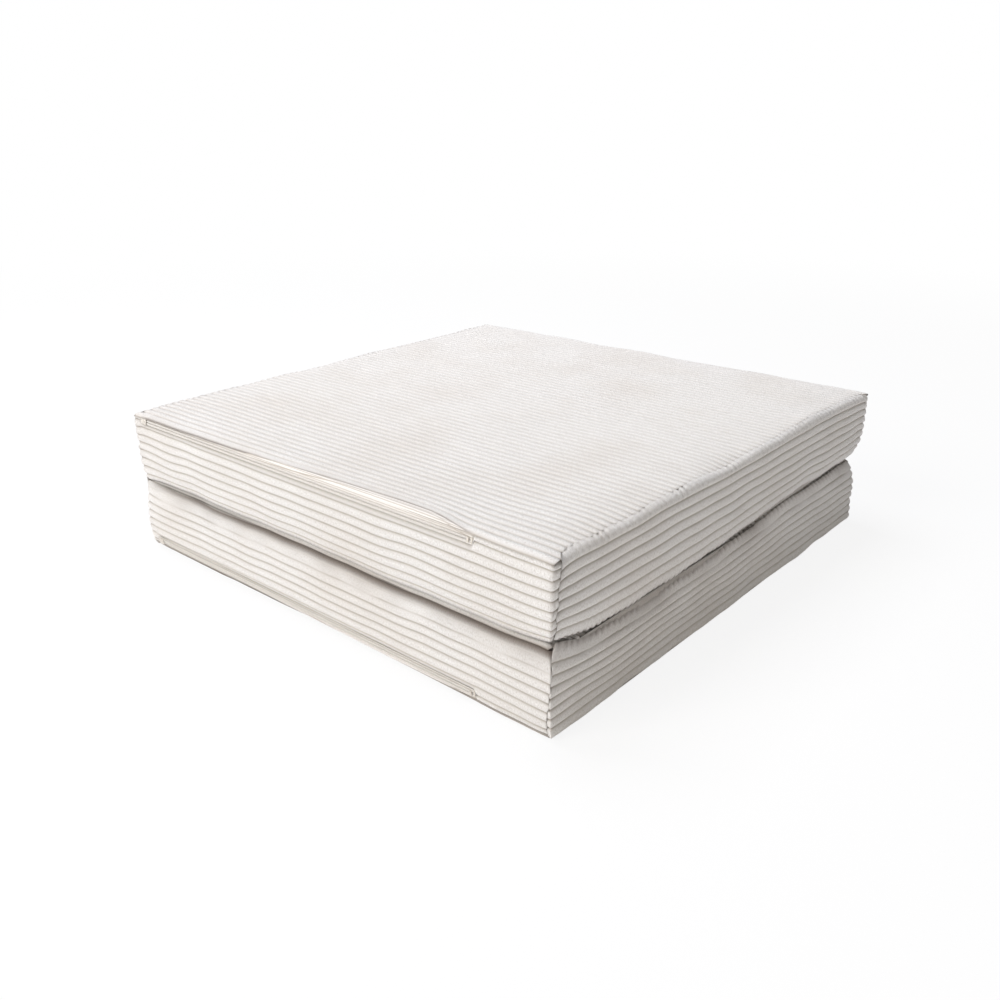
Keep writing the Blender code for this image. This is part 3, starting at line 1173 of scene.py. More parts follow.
@dataclass
class BoxingPanel(ClothSheet):
    """The band of cloth over one side of a half, with its wales level.

    Its rows are lengths of cloth from the outer seam.
    """

    form: HalfForm
    side: Side
    phases: Array
    wale_numbers: Array

    zip_edge: float = 11.8 * MM
    slot_end: float = 2.0 * MM
    pitch: float = 11.3 * MM
    zip_wale: float = 18.0 * MM
    first_wale: float = 7.6 * MM
    rolled_wale: float = 12.0 * MM
    swell: Waves = (0.10, 0.03, 0.14)
    nubs: Waves = (0.15 * MM, 0.006, 0.018)
    bows: Waves = (1.5 * MM, 0.07, 0.4)
    bulges: Waves = (1.0 * MM, 0.09, 0.4)
    pinches: Waves = (0.35, 2.3, 12.0)
    pinch_depth: float = 0.6
    pinch_width: float = 0.16
    pinch_reach: float = 7 * MM
    foot_pinch: float = 0.3
    pinch_most: float = 0.9
    tick_depth: float = 0.6
    tick_reach: float = 5 * MM
    lap_ripple: float = 0.35
    crushed: float = 0.72
    crushed_height: float = 0.7
    crush_widths: tuple[float, float] = (19 * MM, 12 * MM)
    crush_blend: float = 5 * MM
    crush_edge: Waves = (3.5 * MM, 0.06, 0.2)
    zip_sag: float = 4.0 * MM
    sag_share: float = 0.8
    sag_blend: float = 4 * MM
    bow_blend: float = 8 * MM
    corner_step: float = 2.2 * MM
    step_reach: float = 0.05
    corner_roll: float = 2.2 * MM
    corner_least: float = 0.82
    outer_roll: float = 3.5 * MM
    outer_leasts: Place = (0.96, 0.7, 0.2)
    fold_roll: float = 4.0 * MM
    fold_leasts: tuple[float, float] = (0.4, 0.15)
    shut_least: float = 0.6
    fold_lap: float = 2.8 * MM
    lap_reach: float = 12 * MM
    foot_lap_share: float = 0.85
    foot_lap_reach: float = 10 * MM
    seam_reach: float = 0.016
    wrap_reach: float = 0.030
    stray_reach: float = 0.005
    # Painted shade: in uneven patches under the upper half's edge, in the fold's gap, along the
    # outer seam, in the pinches and at the corner seams
    dust: Waves = (1.0, 0.05, 0.3)
    dust_mark: float = 0.5
    dust_reach: float = 0.011
    fold_shade: float = 0.95
    fold_shade_widths: tuple[float, float] = (3.4 * MM, 5.5 * MM)
    crest_fold_shade: float = 0.35
    seam_shade: float = 0.10
    seam_shade_width: float = 1.4 * MM
    pinch_shade: float = 0.5
    corner_shade: float = 0.35
    corner_shade_reach: float = 5 * MM

    @classmethod
    def cut(cls, form: HalfForm, side: Side) -> "BoxingPanel":
        """Cuts the panel for a side.

        Args:
            form: The half that it covers.
            side: The side.

        Returns:
            The panel.
        """
        lengths, phases, numbers = cls.wale_rows(form, side)
        columns = spread_places(form.side / 2, 3.4 * MM)
        if side is Side.FRONT:
            near_ends = np.array([-3.0, -2.0, -1.4, -0.8, -0.2, 0.4]) * MM
            extra = [form.zip_start + near_ends, form.zip_end - near_ends[::-1]]
            columns = np.concatenate((columns, *extra / np.float64(form.side / 2)))
            columns = np.unique(np.round(columns, 6))
        last, high = len(columns) - 1, len(lengths) - 1
        bends = (8, 18, last // 2, last - 18, last - 8)
        if side is Side.FRONT:
            # The back of the cloth turns exactly where the slot starts and ends
            start, end = form.zip_start, form.zip_end
            turns = np.array([start - cls.slot_end, start, end, end + cls.slot_end])
            slot = np.abs(columns[:, None] * form.side / 2 - turns).argmin(axis=0)
            bends = (*(int(bend) for bend in slot), last // 2, last - 8)
        row_bends = (high // 6, high // 2, high * 5 // 6)
        name = f"{form.half.prefix}_{side.name.lower()}_boxing_cloth"
        return cls(name, columns, lengths, bends, row_bends, form, side, phases, numbers)

    @classmethod
    def wale_rows(cls, form: HalfForm, side: Side) -> Laid:
        """Sets out the rows across the wales, from the outer seam to the fold seam.

        Args:
            form: The half.
            side: The side.

        Returns:
            The length of cloth to each row, its phase across its wale, and its wale's number.
        """
        total = float(form.profile()[1][-1])
        grooves = [0.0, cls.rolled_wale if side.ends_wales else cls.first_wale]
        if side is Side.FRONT:
            grooves = [0.0, cls.zip_wale - cls.pitch, cls.zip_wale]
        while grooves[-1] + 1.35 * cls.pitch < total:
            grooves.append(grooves[-1] + cls.pitch)
        grooves.append(total)
        rows = [
            (start + (phase + 1) / 2 * (end - start), phase, number)
            for number, (start, end) in enumerate(zip(grooves[:-1], grooves[1:], strict=True))
            for phase in ACROSS_SIDE_WALE
        ]
        lengths, phases, numbers = zip(*rows, (total, 1.0, rows[-1][2]), strict=True)
        return np.array(lengths), np.array(phases), np.array(numbers)

    def crush(self, along: Array, length: Array) -> Array:
        """How far the pile is pressed flat, from 0 to 1, beside the fold of the lower half.

        Args:
            along: Distances along the side.
            length: Lengths of cloth from the outer seam.

        Returns:
            Shares from 0 to 1.
        """
        if self.form.half is Half.UPPER:
            return np.zeros_like(length)
        wide = self.crush_widths[self.side is not Side.FRONT]
        wide = wide + Unevenness(71 + self.side.value, *self.crush_edge).at(along)
        into = np.clip((wide - (self.rows[-1] - length)) / self.crush_blend + 0.5, 0, 1)
        return self.crushed * into

    def hinge_closed(self, share: Array) -> Array | float:
        """Share of the fold's draw that the hinge closes up.

        Args:
            share: Shares of the half width along the side.

        Returns:
            Shares from 0 to 1.
        """
        if self.side.ends_wales:
            return 0.0
        return self.form.closed(share if self.side is Side.FRONT else -share)

    def roll_over(
        self, face: Face, foam_out: Array, levels: tuple[Array, Array], length: Array, depth: Array
    ) -> tuple[Array, Array]:
        """Rolls one edge of the panel over the edge of the half, to a seam on the face.

        Args:
            face: The face.
            foam_out: Distances of the foam's side from the middle of the half.
            levels: Heights of that seam and of the panel's other edge.
            length: Length of cloth from that seam.
            depth: How far the cloth stands off the foam.

        Returns:
            The distances and heights of the cloth.
        """
        radius = self.form.roll_radius(face)
        arc = radius * math.pi / 2
        turn = np.clip(length / radius, 0, math.pi / 2)
        past = np.clip((length - arc) / (self.rows[-1] - arc), 0, 1)
        top, bottom = levels[0] + self.form.clearance, levels[1]
        out = foam_out - radius * (1 - np.sin(turn)) + depth * np.sin(turn)
        height = top - radius * (1 - np.cos(turn)) + depth * np.cos(turn)
        return out, height - past * (top - radius - bottom)

    def lay(self, column: Array, row: Array, outer: Array) -> Laid:
        """Lays the panel over its side.

        Args:
            column: The column number of each vertex.
            row: Its row number.
            outer: Whether it is on the outer face.

        Returns:
            What ClothSheet.lay returns.
        """
        form, total, ends_wales = self.form, self.rows[-1], self.side.ends_wales
        lower = form.half is Half.LOWER
        share, phase, wale = self.columns[column], self.phases[row], self.wale_numbers[row]
        along = share * form.side / 2
        length = self.rows[row]
        seed = 700 + 20 * form.half.value + self.side.value

        # Where the first wale rolls over the edge, it meets the seam at its full height
        round_back = wale_height(phase)
        if form.rolls(self.side, Face.OUTER):
            round_back = np.where((wale == 0) & (phase < 0), 1.0, round_back)

        # Along the zip the panel ends below it, with one smooth band above the first groove
        slot, beside = np.zeros_like(along), np.zeros_like(along)
        if self.side is Side.FRONT:
            into = np.minimum(along - form.zip_start, form.zip_end - along)
            beside = np.clip((into + self.slot_end) / self.slot_end, 0, 1)
            slot = (self.zip_edge + form.outer_fall - form.seam_fall) * beside
            first = self.zip_wale
            band = length < first
            length = np.where(band, slot + length * (first - slot) / first, length)
            share_down = np.clip((length - slot) / (first - slot), 0, 1)
            smooth = wale_height(share_down) * (0.25 + 0.75 * share_down)
            round_back = np.where(band, round_back * (1 - beside) + smooth * beside, round_back)
            low = -self.zip_sag * np.clip(-along / -form.zip_start, 0, 1) ** 1.5
            low = low * (1 - length / total)
            length = length + low * np.clip((length - slot) / self.sag_blend, 0, 1) * self.sag_share

        down_places, down_lengths = form.profile()
        down = np.interp(length, down_lengths, down_places)
        to_fold = total - length
        swell = 1 + Unevenness(seed, *self.swell).at(along, wale * SWELL_SHIFT)
        nubs = Unevenness(seed + 1, *self.nubs).at(along, wale * NUB_SHIFT)
        pressed = self.crush(along, length)
        back = round_back * (1 - pressed) + self.crushed_height * pressed
        end = (1 - np.abs(share)) * form.side / 2
        closed = self.hinge_closed(share)
        shut = closed / form.hinge_closing
        roll = rolled(end, self.corner_roll, self.corner_least)
        over_edge, at_ends, plain = self.outer_leasts
        least = over_edge if form.rolls(self.side, Face.OUTER) else at_ends if ends_wales else plain
        roll = roll * rolled(length - slot, self.outer_roll, least)
        least = self.fold_leasts[not ends_wales] + self.shut_least * shut
        roll = roll * rolled(to_fold, self.fold_roll, least)
        depth = (form.cloth + form.wale * back * swell + nubs * round_back) * roll
        pinch, tick = np.zeros_like(along), np.zeros_like(along)
        near_fold = fade(to_fold, self.lap_reach)
        seam_height = form.cover + form.clearance
        if ends_wales:
            count = (share + 1) / 2 * FACE_WALES
            from_groove = np.abs(count - np.rint(count))
            depths = self.pinch_depth + Unevenness(seed + 4, *self.pinches).at(np.rint(count))
            mark = depths * bell(from_groove, self.pinch_width)
            pinch = mark * fade(length, self.pinch_reach) * (self.foot_pinch if lower else 1)
            tick = np.clip(mark, 0, 1) * fade(to_fold, self.tick_reach)
            depth = depth * (1 - np.clip(pinch + self.tick_depth * tick, 0, self.pinch_most))
        # The fold's edge meets the other half's at the hinge. On the open side it laps over the
        # ends of the inner face's wales, and follows them
        lap = seam_height * (1 - (1 - shut) ** 1.5) * near_fold
        if self.side is Side.OPEN_SIDE:
            ripple = 1 - self.lap_ripple * np.cos(2 * np.pi * count)
            lap = self.fold_lap * near_fold * ripple
            lap = np.clip(lap * depths / self.pinch_depth, 0, seam_height)
        if ends_wales and lower:
            near_foot = fade(length, self.foot_lap_reach)
            lap = lap - self.foot_lap_share * seam_height * near_foot
        depth = np.where(outer, depth, 0)

        # The wales bow between the seams, and step a little where two panels meet at a corner
        free = np.sin(np.pi * np.clip(length / total, 0, 1))
        bow = Unevenness(seed + 2, *self.bows).at(along, length * 1.6)
        bow = bow * (1 - beside * fade(length - slot, self.bow_blend))
        step = self.corner_step * (self.side.value % 2) * fade(end, self.step_reach)
        fuller = Unevenness(seed + 3, *self.bulges).at(along, length * 1.2)

        corner_closed = form.closed(-1.0) if self.side is Side.HINGE_SIDE else 0.0
        out = form.side_out(self.side, share, down, closed) + depth - form.cover + fuller * free
        corners = [
            form.side_out(Side((self.side.value + way) % 4), -way * 1.0, down, corner_closed)
            for way in (-1, 1)
        ]
        corner = np.where(share < 0, corners[0], corners[1])
        corner = corner + depth - form.cover - form.clearance
        top = form.face_height(share, 1.0, Face.OUTER) - form.cover - form.clearance
        bottom = form.face_height(share, 1.0, Face.INNER) + form.cover + form.clearance
        height = top - down / form.boxing_height * (top - bottom)
        for face, from_seam in ((Face.OUTER, length), (Face.INNER, to_fold)):
            if form.rolls(self.side, face):
                levels = (top, bottom) if face is Face.OUTER else (-bottom, -top)
                over_out, over_height = self.roll_over(face, out - depth, levels, from_seam, depth)
                over = form.roll_share(end, face, closed if face is Face.INNER else 0.0)
                out = out + over * (over_out - out)
                height = height + over * (face.value * over_height - height)
        height = height + (bow + step) * free - lap

        inwards, upwards = form.seam_drift(self.side, along)
        near_top = fade(length, self.seam_reach) * (1 - beside)
        out = out - inwards * near_top
        height = height + upwards * near_top
        settled = form.half.value * form.fold_drift(self.side, along)
        height = height + settled * np.clip(length / total, 0, 1) ** 1.6
        if lower:
            height = np.minimum(height, form.thickness / 2)

        # Near the front corner the upright seam lies beside the corner, not on it
        past = form.corner_wrap(self.side, share, down) * fade(end, self.wrap_reach)
        past = past - (1 - np.abs(share)) * corner
        x = np.sign(share) * (corner - np.clip(-past, 0, None))
        y = np.clip(past, 0, None) - out
        for way in (-1, 1):
            stray, on = form.corner_drift(self.side.value + (way - 1) // 2, length)
            near = np.where(share * way > 0, fade(end, self.stray_reach), 0) / math.sqrt(2)
            x = x + way * (stray + way * on) * near
            y = y - (stray - way * on) * near
        cos, sin = self.side.turn
        points = np.stack((x * cos - y * sin, x * sin + y * cos, height), axis=1)

        groove = np.where(outer, groove_depth(back), BACK_OF_CLOTH)
        # Painted shade: brown in the fold's gap, under the upper half's edge, along the outer seam,
        # in the pinches and at the corner seams
        fold = self.fold_shade * bell(to_fold, self.fold_shade_widths[lower]) * (1 - shut)
        if ends_wales:
            fold = fold * (self.crest_fold_shade + (1 - self.crest_fold_shade) * tick)
        if lower:
            # Painted shade in uneven patches on the pressed pile under the edge of the upper half
            under_edge_shade = 0.5 + 0.5 * Unevenness(77 + self.side.value, *self.dust).at(along)
            under_edge_shade = self.dust_mark * np.clip(under_edge_shade, 0, 1) * fade(to_fold, self.dust_reach)
            fold = np.maximum(fold, under_edge_shade)
        seam = self.seam_shade * bell(length - slot, self.seam_shade_width) * (slot <= 0)
        seam = np.maximum(seam, self.pinch_shade * np.clip(pinch, 0, 1))
        corner_seam_shade = self.corner_shade * groove * fade(end, self.corner_shade_reach)
        tucked = np.where(outer, np.maximum.reduce((fold, seam, corner_seam_shade)), BACK_PAINTED_SHADE)
        marks = np.stack((groove, tucked), axis=1)
        return form.into_world(points), marks, np.stack((along, length + 1.0), axis=1)


@dataclass
class FoldHinge(ClothSheet):
    """The cloth that joins the two halves at the fold, rolled outwards between their seams."""

    form: HalfForm
    standoff: float = 2.5 * MM
    tuck: float = 4.0 * MM
    tuck_reach: float = 10 * MM
    cloth: float = 2.0 * MM
    end_roll: float = 3 * MM
    wales: float = 1.5
    swell: Waves = (0.12, 0.02, 0.12)
    axis_standoff: float = 1 * MM

    @classmethod
    def cut(cls, form: HalfForm) -> "FoldHinge":
        """Cuts the strip.

        Args:
            form: Either half, for the sizes that both share.

        Returns:
            The strip, its columns along the hinge and its rows from the lower seam up.
        """
        columns = spread_places(form.side / 2, 4.0 * MM)
        last = len(columns) - 1
        bends = (8, 18, last // 2, last - 18, last - 8)
        return cls("fold_hinge_cloth", columns, np.linspace(-1, 1, 29), bends, (7, 14, 21), form)

    @property
    def reach(self) -> float:
        """How far it reaches up and down from the fold's plane."""
        return self.form.fold_gap / 2 + self.form.fold_fall + self.form.cover

    @property
    def level(self) -> float:
        """World height of the fold's plane."""
        return self.form.thickness + self.form.fold_gap / 2

    @property
    def axis_x(self) -> float:
        """Place of the line that it bends round, along X."""
        return -self.form.side / 2 - self.axis_standoff

    def lay(self, column: Array, row: Array, outer: Array) -> Laid:
        """Lays the strip over the fold.

        Args:
            column: The column number of each vertex.
            row: Its row number.
            outer: Whether it is on the outer face.

        Returns:
            What ClothSheet.lay returns.
        """
        form = self.form
        along, across = self.columns[column], self.rows[row]
        width = form.side_out(Side.FRONT, -1.0, form.boxing_height, form.closed(-1.0))
        y = along * width
        phase = (across * self.wales + self.wales) % 1.0 * 2 - 1
        round_back = wale_height(np.clip(phase, -1, 1))
        swell = 1 + Unevenness(41, *self.swell).at(y, across)
        end = (1 - np.abs(along)) * width
        roll = rolled(end, self.end_roll, 0.3)
        depth = (0.5 * self.cloth + 0.5 * self.cloth * round_back * swell) * roll
        depth = np.where(outer, depth, 0)
        seam = form.side_out(Side.HINGE_SIDE, along, form.boxing_height) + form.clearance
        tucked = self.tuck * fade(end, self.tuck_reach)
        out = seam + (self.standoff - tucked) * (1 - across * across) + depth * (1 - tucked / 12e-3)
        drift = form.fold_drift(Side.HINGE_SIDE, -y) * np.abs(across)
        points = np.stack((-out, y, self.level + across * self.reach + drift), axis=1)
        groove = np.where(outer, groove_depth(round_back), BACK_OF_CLOTH)
        marks = np.stack((groove, np.zeros_like(groove)), axis=1)
        return points, marks, np.stack((y, across * self.reach), axis=1)


@dataclass
class FoamBlock:
    """The block of cut foam inside the cover of a half."""

    form: HalfForm
    cells: int = 34
    slack: float = 0.4 * MM
    edge_slack: float = 1.8 * MM
    edge_reach: float = 0.008
    shoulder_slack: float = 3.8 * MM
    shoulder_reach: float = 0.012
    edge_drop: float = 1.5 * MM
    drop_reach: float = 20 * MM
    press_reach: float = 0.016

    def build(self) -> bpy.types.Object:
        """Builds the block, parallel to its cover.

        Returns:
            Its object.
        """
        form = self.form
        bm = bmesh.new()
        bmesh.ops.create_cube(bm, size=2)
        bmesh.ops.subdivide_edges(bm, edges=bm.edges[:], cuts=self.cells - 1, use_grid_fill=True)
        mesh = mesh_from(bm, f"{form.half.prefix}_foam_block")
        u, v, w = np.sin(vertex_places(mesh) * np.pi / 2).T
        inset = form.cover + form.clearance + self.slack
        down = (1 - w) / 2 * form.boxing_height
        up = form.boxing_height - down
        tuck = inset + self.edge_slack * (fade(up, self.edge_reach) + np.abs(u * v) ** 50)
        tuck = tuck + self.shoulder_slack * fade(down, self.shoulder_reach)
        wide, deep = form.half_widths(u, v, down)
        x, y = u * (wide - tuck), v * (deep - tuck)
        edge = (1 - np.maximum(np.abs(u), np.abs(v))) * form.side / 2
        round_off = self.edge_drop * fade(edge, self.drop_reach)
        top = form.face_height(u, v, Face.OUTER) - inset - round_off
        bottom = form.face_height(u, v, Face.INNER) + inset + round_off

        # The cloth presses it down where its seams sag, and the fold carries it up and down
        outer_reach = float(form.side_out(Side.FRONT, 0.0, 0.0))
        inner_reach = float(form.side_out(Side.FRONT, 0.0, form.boxing_height))
        pressed = np.minimum(form.edge_shifts(Face.OUTER, x, y, outer_reach)[2], 0)
        carried = form.edge_shifts(Face.INNER, x, y, inner_reach)[2]
        height = bottom + (top - bottom) * (w + 1) / 2
        height = height + pressed * fade(down, self.press_reach)
        height = height + carried * ((1 - w) / 2) ** 1.6
        points = np.stack((x, y, height), axis=1)
        mesh.vertices.foreach_set("co", form.into_world(points).ravel())
        return finish_mesh(mesh)


@dataclass
class ZipTapeStrip(ClothSheet):
    """One woven tape of a zip, from beside its coil to the cloth that it is sewn under."""

    form: HalfForm
    seat: Place
    tilt: float
    half_length: float
    near: float
    far: float
    back_level: float
    thickness: float
    bend_at: float = 5.5 * MM
    bend_radius: float = 2.0 * MM
    bow_blend: float = 3 * MM
    stitch_rows: tuple[float, float] = (4 * MM, 8 * MM)
    stitch_width: float = 0.45 * MM
    stitch_depth: float = 0.2 * MM

    def lay(self, column: Array, row: Array, outer: Array) -> Laid:
        """Lays the tape up the side and, where it is wide, over the edge onto the face.

        Args:
            column: The column number of each vertex.
            row: Its row number.
            outer: Whether it is on the outer face.

        Returns:
            What ClothSheet.lay returns.
        """
        form = self.form
        middle, out, rise = self.seat
        along = -self.half_length + 2 * self.half_length * self.columns[column]
        width = self.near + (self.far - self.near) * self.rows[row]
        sin, cos = math.sin(self.tilt), math.cos(self.tilt)
        radius, flat = self.bend_radius, self.bend_at
        turn = math.pi / 2 - self.tilt

        # Along the tape's middle: straight up the side, round the bend, and inwards
        bent = np.clip((width - flat) / radius, 0, turn)
        inward = np.clip(width - flat - radius * turn, 0, None)
        up = np.minimum(width, flat)
        angle = self.tilt + bent
        level = self.back_level + self.thickness / 2
        y = up * sin - level * cos + radius * (cos - np.cos(angle)) + inward
        z = up * cos + level * sin + radius * (np.sin(angle) - sin)
        half_thick = np.where(outer, 0.5, -0.5) * self.thickness
        y, z = y - half_thick * np.cos(angle), z + half_thick * np.sin(angle)

        x = along + middle
        bow = form.zip_bow(x) * np.clip((width - flat) / self.bow_blend, 0, 1)
        z = z + form.outer_fall * (1 - fade(inward, form.fall_reach)) + form.bow_lift * bow

        # Two rows of stitches follow the edge of the face, and sink in a little
        edge = flat + radius * turn + form.bow_inwards * form.zip_bow(x)
        from_rows = (width - edge + gap for gap in self.stitch_rows)
        seams = sum(bell(away, self.stitch_width) for away in from_rows)
        z = z - np.where(outer, self.stitch_depth * seams, 0)
        points = np.stack((x, y - out, z + rise), axis=1)
        # The stitch rows' mark is painted shade in the tape's material
        marks = np.stack((np.clip(seams, 0, 1), np.zeros_like(seams)), axis=1)
        return form.into_world(points), marks, np.stack((along, width), axis=1)


@dataclass
class Zip:
    """The coil zip along the shoulder of a half: two tapes, two coil rows, stops, slider, tack."""

    form: HalfForm
    seam_drop: float = 2.4 * MM
    tape_width: float = 3.9 * MM
    tape_thickness: float = 0.5 * MM
    facing_width: float = 21 * MM
    tape_hem: float = 0.2 * MM
    split: float = 0.9 * MM
    coil_width: float = 2.6 * MM
    coil_height: float = 2.0 * MM
    coil_pitch: float = 1.2 * MM
    coil_doublings: int = 4
    coil_steps: int = 8
    wire: float = 0.45 * MM
    cord: float = 0.6 * MM
    end_inset: float = 6.0 * MM
    stop_length: float = 2.0 * MM
    running_gap: float = 0.3 * MM
    plate: float = 0.6 * MM
    flange: float = 0.6 * MM
    divider: float = 0.3 * MM
    edge_round: float = 0.12 * MM
    taper_share: float = 0.93
    slider_length: float = 10.5 * MM
    bridge_height: float = 0.9 * MM
    bridge_width: float = 2.0 * MM
    bridge_thickness: float = 0.6 * MM
    tack_length: float = 1.6 * MM
    tack_width: float = 7.8 * MM
    tack_rise: float = 0.3 * MM
    thread: float = 0.22 * MM
    arrow_length: float = 5.5 * MM
    arrow_place: tuple[float, float] = (4.2 * MM, 1.7 * MM)
    arrow_lean: float = 52

    @property
    def prefix(self) -> str:
        """Start of the names of its pieces."""
        return f"{self.form.half.prefix}_zip"

    @property
    def tape_level(self) -> float:
        """Level of the back of the tapes above the foam."""
        return self.plate + self.running_gap

    @property
    def coil_level(self) -> float:
        """Level of the back of the coil rows."""
        return self.tape_level + self.tape_thickness + self.running_gap

    @property
    def length(self) -> float:
        """Length of the tapes."""
        return self.form.zip_end - self.form.zip_start

    @property
    def chain_end(self) -> float:
        """Distance of each end of the chain from the middle of the zip."""
        return self.length / 2 - self.end_inset

    @property
    def slider_rest(self) -> float:
        """Place of the closed slider along the zip."""
        return -self.chain_end + self.stop_length + self.running_gap + self.slider_length / 2

    @property
    def tilt(self) -> float:
        """How far the zip leans back from upright, as the side does there."""
        form = self.form
        return math.atan2(form.outer_draw * form.outer_bend_share, form.boxing_height / 8)

    @property
    def seat(self) -> Place:
        """The zip's middle in the half's frame.

        Returns:
            Its place along the side, outwards and up.
        """
        form = self.form
        down = self.seam_drop + self.tape_width + self.split / 2
        top = form.thickness / 2 - form.outer_fall - form.cover - form.clearance
        out = form.side / 2 - form.outer_draw - form.cover + down * math.sin(self.tilt)
        return (form.zip_start + form.zip_end) / 2, out, top - down * math.cos(self.tilt)

    def lie(self) -> Matrix:
        """Where the zip's own frame lies: X along it, Y up the side and Z out of it.

        Returns:
            The matrix from the zip's frame to the world.
        """
        form = self.form
        sin, cos = math.sin(self.tilt), math.cos(self.tilt)
        middle, out, rise = self.seat
        seat = Matrix.Translation((middle, -out, rise))
        turned = Matrix(((1, 0, 0), (0, sin, -cos), (0, cos, sin))).to_4x4()
        raised = Matrix.Translation((0, 0, form.level))
        return raised @ Matrix.Diagonal((1, 1, form.half.value, 1)) @ seat @ turned

    def tape(self, row: Face) -> ZipTapeStrip:
        """Cuts one tape. The outer one is wider, because it reaches under the top panel.

        Args:
            row: The face that the tape is beside.

        Returns:
            The tape.
        """
        outer = row is Face.OUTER
        extra = self.facing_width if outer else self.tape_hem
        return ZipTapeStrip(
            name=f"{self.prefix}_{row.name.lower()}_tape_woven",
            columns=np.linspace(0, 1, 141),
            rows=np.linspace(0, 1, 61 if outer else 13),
            column_bends=(70,),
            row_bends=(6, 30) if outer else (6,),
            form=self.form,
            seat=self.seat,
            tilt=self.tilt,
            half_length=self.length / 2,
            near=row.value * self.split / 2,
            far=row.value * (self.split / 2 + self.tape_width + extra),
            back_level=self.tape_level,
            thickness=self.tape_thickness,
        )

    def coil(self, row: Face) -> bpy.types.Object:
        """Winds one coil row of nylon monofilament, flattened as a woven-in coil is.

        Args:
            row: The face that the row is beside.

        Returns:
            Its object.
        """
        run = 2 * (self.chain_end - self.stop_length - self.running_gap)
        copies = 2**self.coil_doublings
        turns = round(run / self.coil_pitch / copies)
        length, steps = run / copies, turns * self.coil_steps
        radius = self.coil_height / 2 - self.wire
        bm = bmesh.new()
        seat = Matrix.Translation((-run / 2, 0, radius)) @ Matrix.Rotation(math.pi / 2, 4, "X")
        bmesh.ops.create_circle(bm, segments=6, radius=self.wire, matrix=seat)
        ring = bm.verts[:] + bm.edges[:]
        winding = {"cent": (0, 0, 0), "axis": (1, 0, 0), "dvec": (length / steps, 0, 0)}
        angle = 2 * math.pi * turns
        bmesh.ops.spin(bm, geom=ring, angle=angle, steps=steps, **winding)
        for doubling in range(self.coil_doublings):
            whole = bm.verts[:] + bm.edges[:] + bm.faces[:]
            made = bmesh.ops.duplicate(bm, geom=whole)["geom"]
            verts = [item for item in made if isinstance(item, bmesh.types.BMVert)]
            bmesh.ops.translate(bm, verts=verts, vec=(length * 2**doubling, 0, 0))
        bmesh.ops.remove_doubles(bm, verts=bm.verts[:], dist=1e-6)
        bmesh.ops.holes_fill(bm, edges=[edge for edge in bm.edges if edge.is_boundary])
        add_rod(bm, 10, self.cord, run, Matrix.Rotation(math.pi / 2, 4, "Y"))
        wide = (self.coil_width / 2 - self.wire) / radius
        bmesh.ops.scale(bm, vec=(1, wide, 1), verts=bm.verts)
        across = row.value * (self.split / 2 + self.coil_width / 2)
        place = Matrix.Translation((0, across, self.coil_level + self.coil_height / 2))
        return piece_from(bm, f"{self.prefix}_{row.name.lower()}_coil_row", self.lie() @ place)

    def slider(self) -> bpy.types.Object:
        """Casts the slider: two tapered plates, their flanges, the divider and the bridge.

        Returns:
            Its object.
        """
        inside = self.split / 2 + self.coil_width + self.running_gap
        outside = inside + self.flange
        top = self.coil_level + self.coil_height + self.running_gap
        long, rim = self.slider_length, top + self.plate - self.coil_level
        bm = bmesh.new()
        for level in (self.plate / 2, top + self.plate / 2):
            self.taper(add_block(bm, (long, 2 * outside, self.plate), (0, 0, level)))
        for way in (-1, 1):
            middle = (0, way * (inside + outside) / 2, self.coil_level + rim / 2)
            self.taper(add_block(bm, (long, outside - inside, rim), middle))
        middle = (-long * 0.2, 0, top / 2 + self.plate / 2)
        add_block(bm, (long * 0.5, self.divider, top), middle)
        edges = [edge for edge in bm.edges if edge.is_manifold]
        rounding = {"segments": 2, "profile": 0.5, "material": -1, "affect": "EDGES"}
        bmesh.ops.bevel(bm, geom=edges, offset=self.edge_round, **rounding)
        self.bridge(bm, top + self.plate)
        place = Matrix.Translation((self.slider_rest, 0, 0))
        return piece_from(bm, f"{self.prefix}_slider_body", self.lie() @ place)

    def taper(self, verts: list[bmesh.types.BMVert]) -> None:
        """Narrows the end of a slider's part that the closed chain leaves by."""
        for vert in verts:
            if vert.co.x > 0:
                vert.co.y *= self.taper_share

    def bridge(self, bm: bmesh.types.BMesh, level: float) -> None:
        """Bends the bridge, a low bow on the front plate.

        Args:
            bm: The slider's shape, which it joins.
            level: Level of the front plate's face.
        """
        reach = self.slider_length * 0.3
        plates = set(bm.verts)
        add_block(bm, (2 * reach, self.bridge_width, self.bridge_thickness), (0, 0, level))
        added = [edge for edge in bm.edges if edge.verts[0] not in plates]
        along = [edge for edge in added if abs(edge.verts[0].co.x - edge.verts[1].co.x) > reach]
        bmesh.ops.subdivide_edges(bm, edges=along, cuts=9)
        bow = self.bridge_height - self.bridge_thickness / 2
        for vert in set(bm.verts) - plates:
            share = min(1.0, abs(vert.co.x) / reach)
            vert.co.z += bow * math.sqrt(1 - share**2.5)

    def tack(self) -> bpy.types.Object:
        """Sews the bar tack at the open end: close stitches across the chain, and a loose arrow.

        Returns:
            Its object.
        """
        bm = bmesh.new()
        seat = self.length / 2 - (self.end_inset - self.tack_length) / 2
        rise = self.coil_level + self.tack_rise
        width = self.tack_width
        stitches = [(seat + shift * MM, 0.0, width, lean) for shift, lean in TACK_STITCHES]
        ahead, aside = self.arrow_place
        for way in (1, -1):
            barb = (seat + ahead, way * aside, self.arrow_length, way * self.arrow_lean)
            stitches.append(barb)
        for along, across, length, lean in stitches:
            place = Matrix.Translation((along, across, rise))
            place = place @ Matrix.Rotation(math.radians(lean), 4, "Z")
            place = place @ Matrix.Rotation(math.pi / 2, 4, "X")
            add_rod(bm, 8, self.thread, length, place)
        return piece_from(bm, f"{self.prefix}_tack_stitches", self.lie())


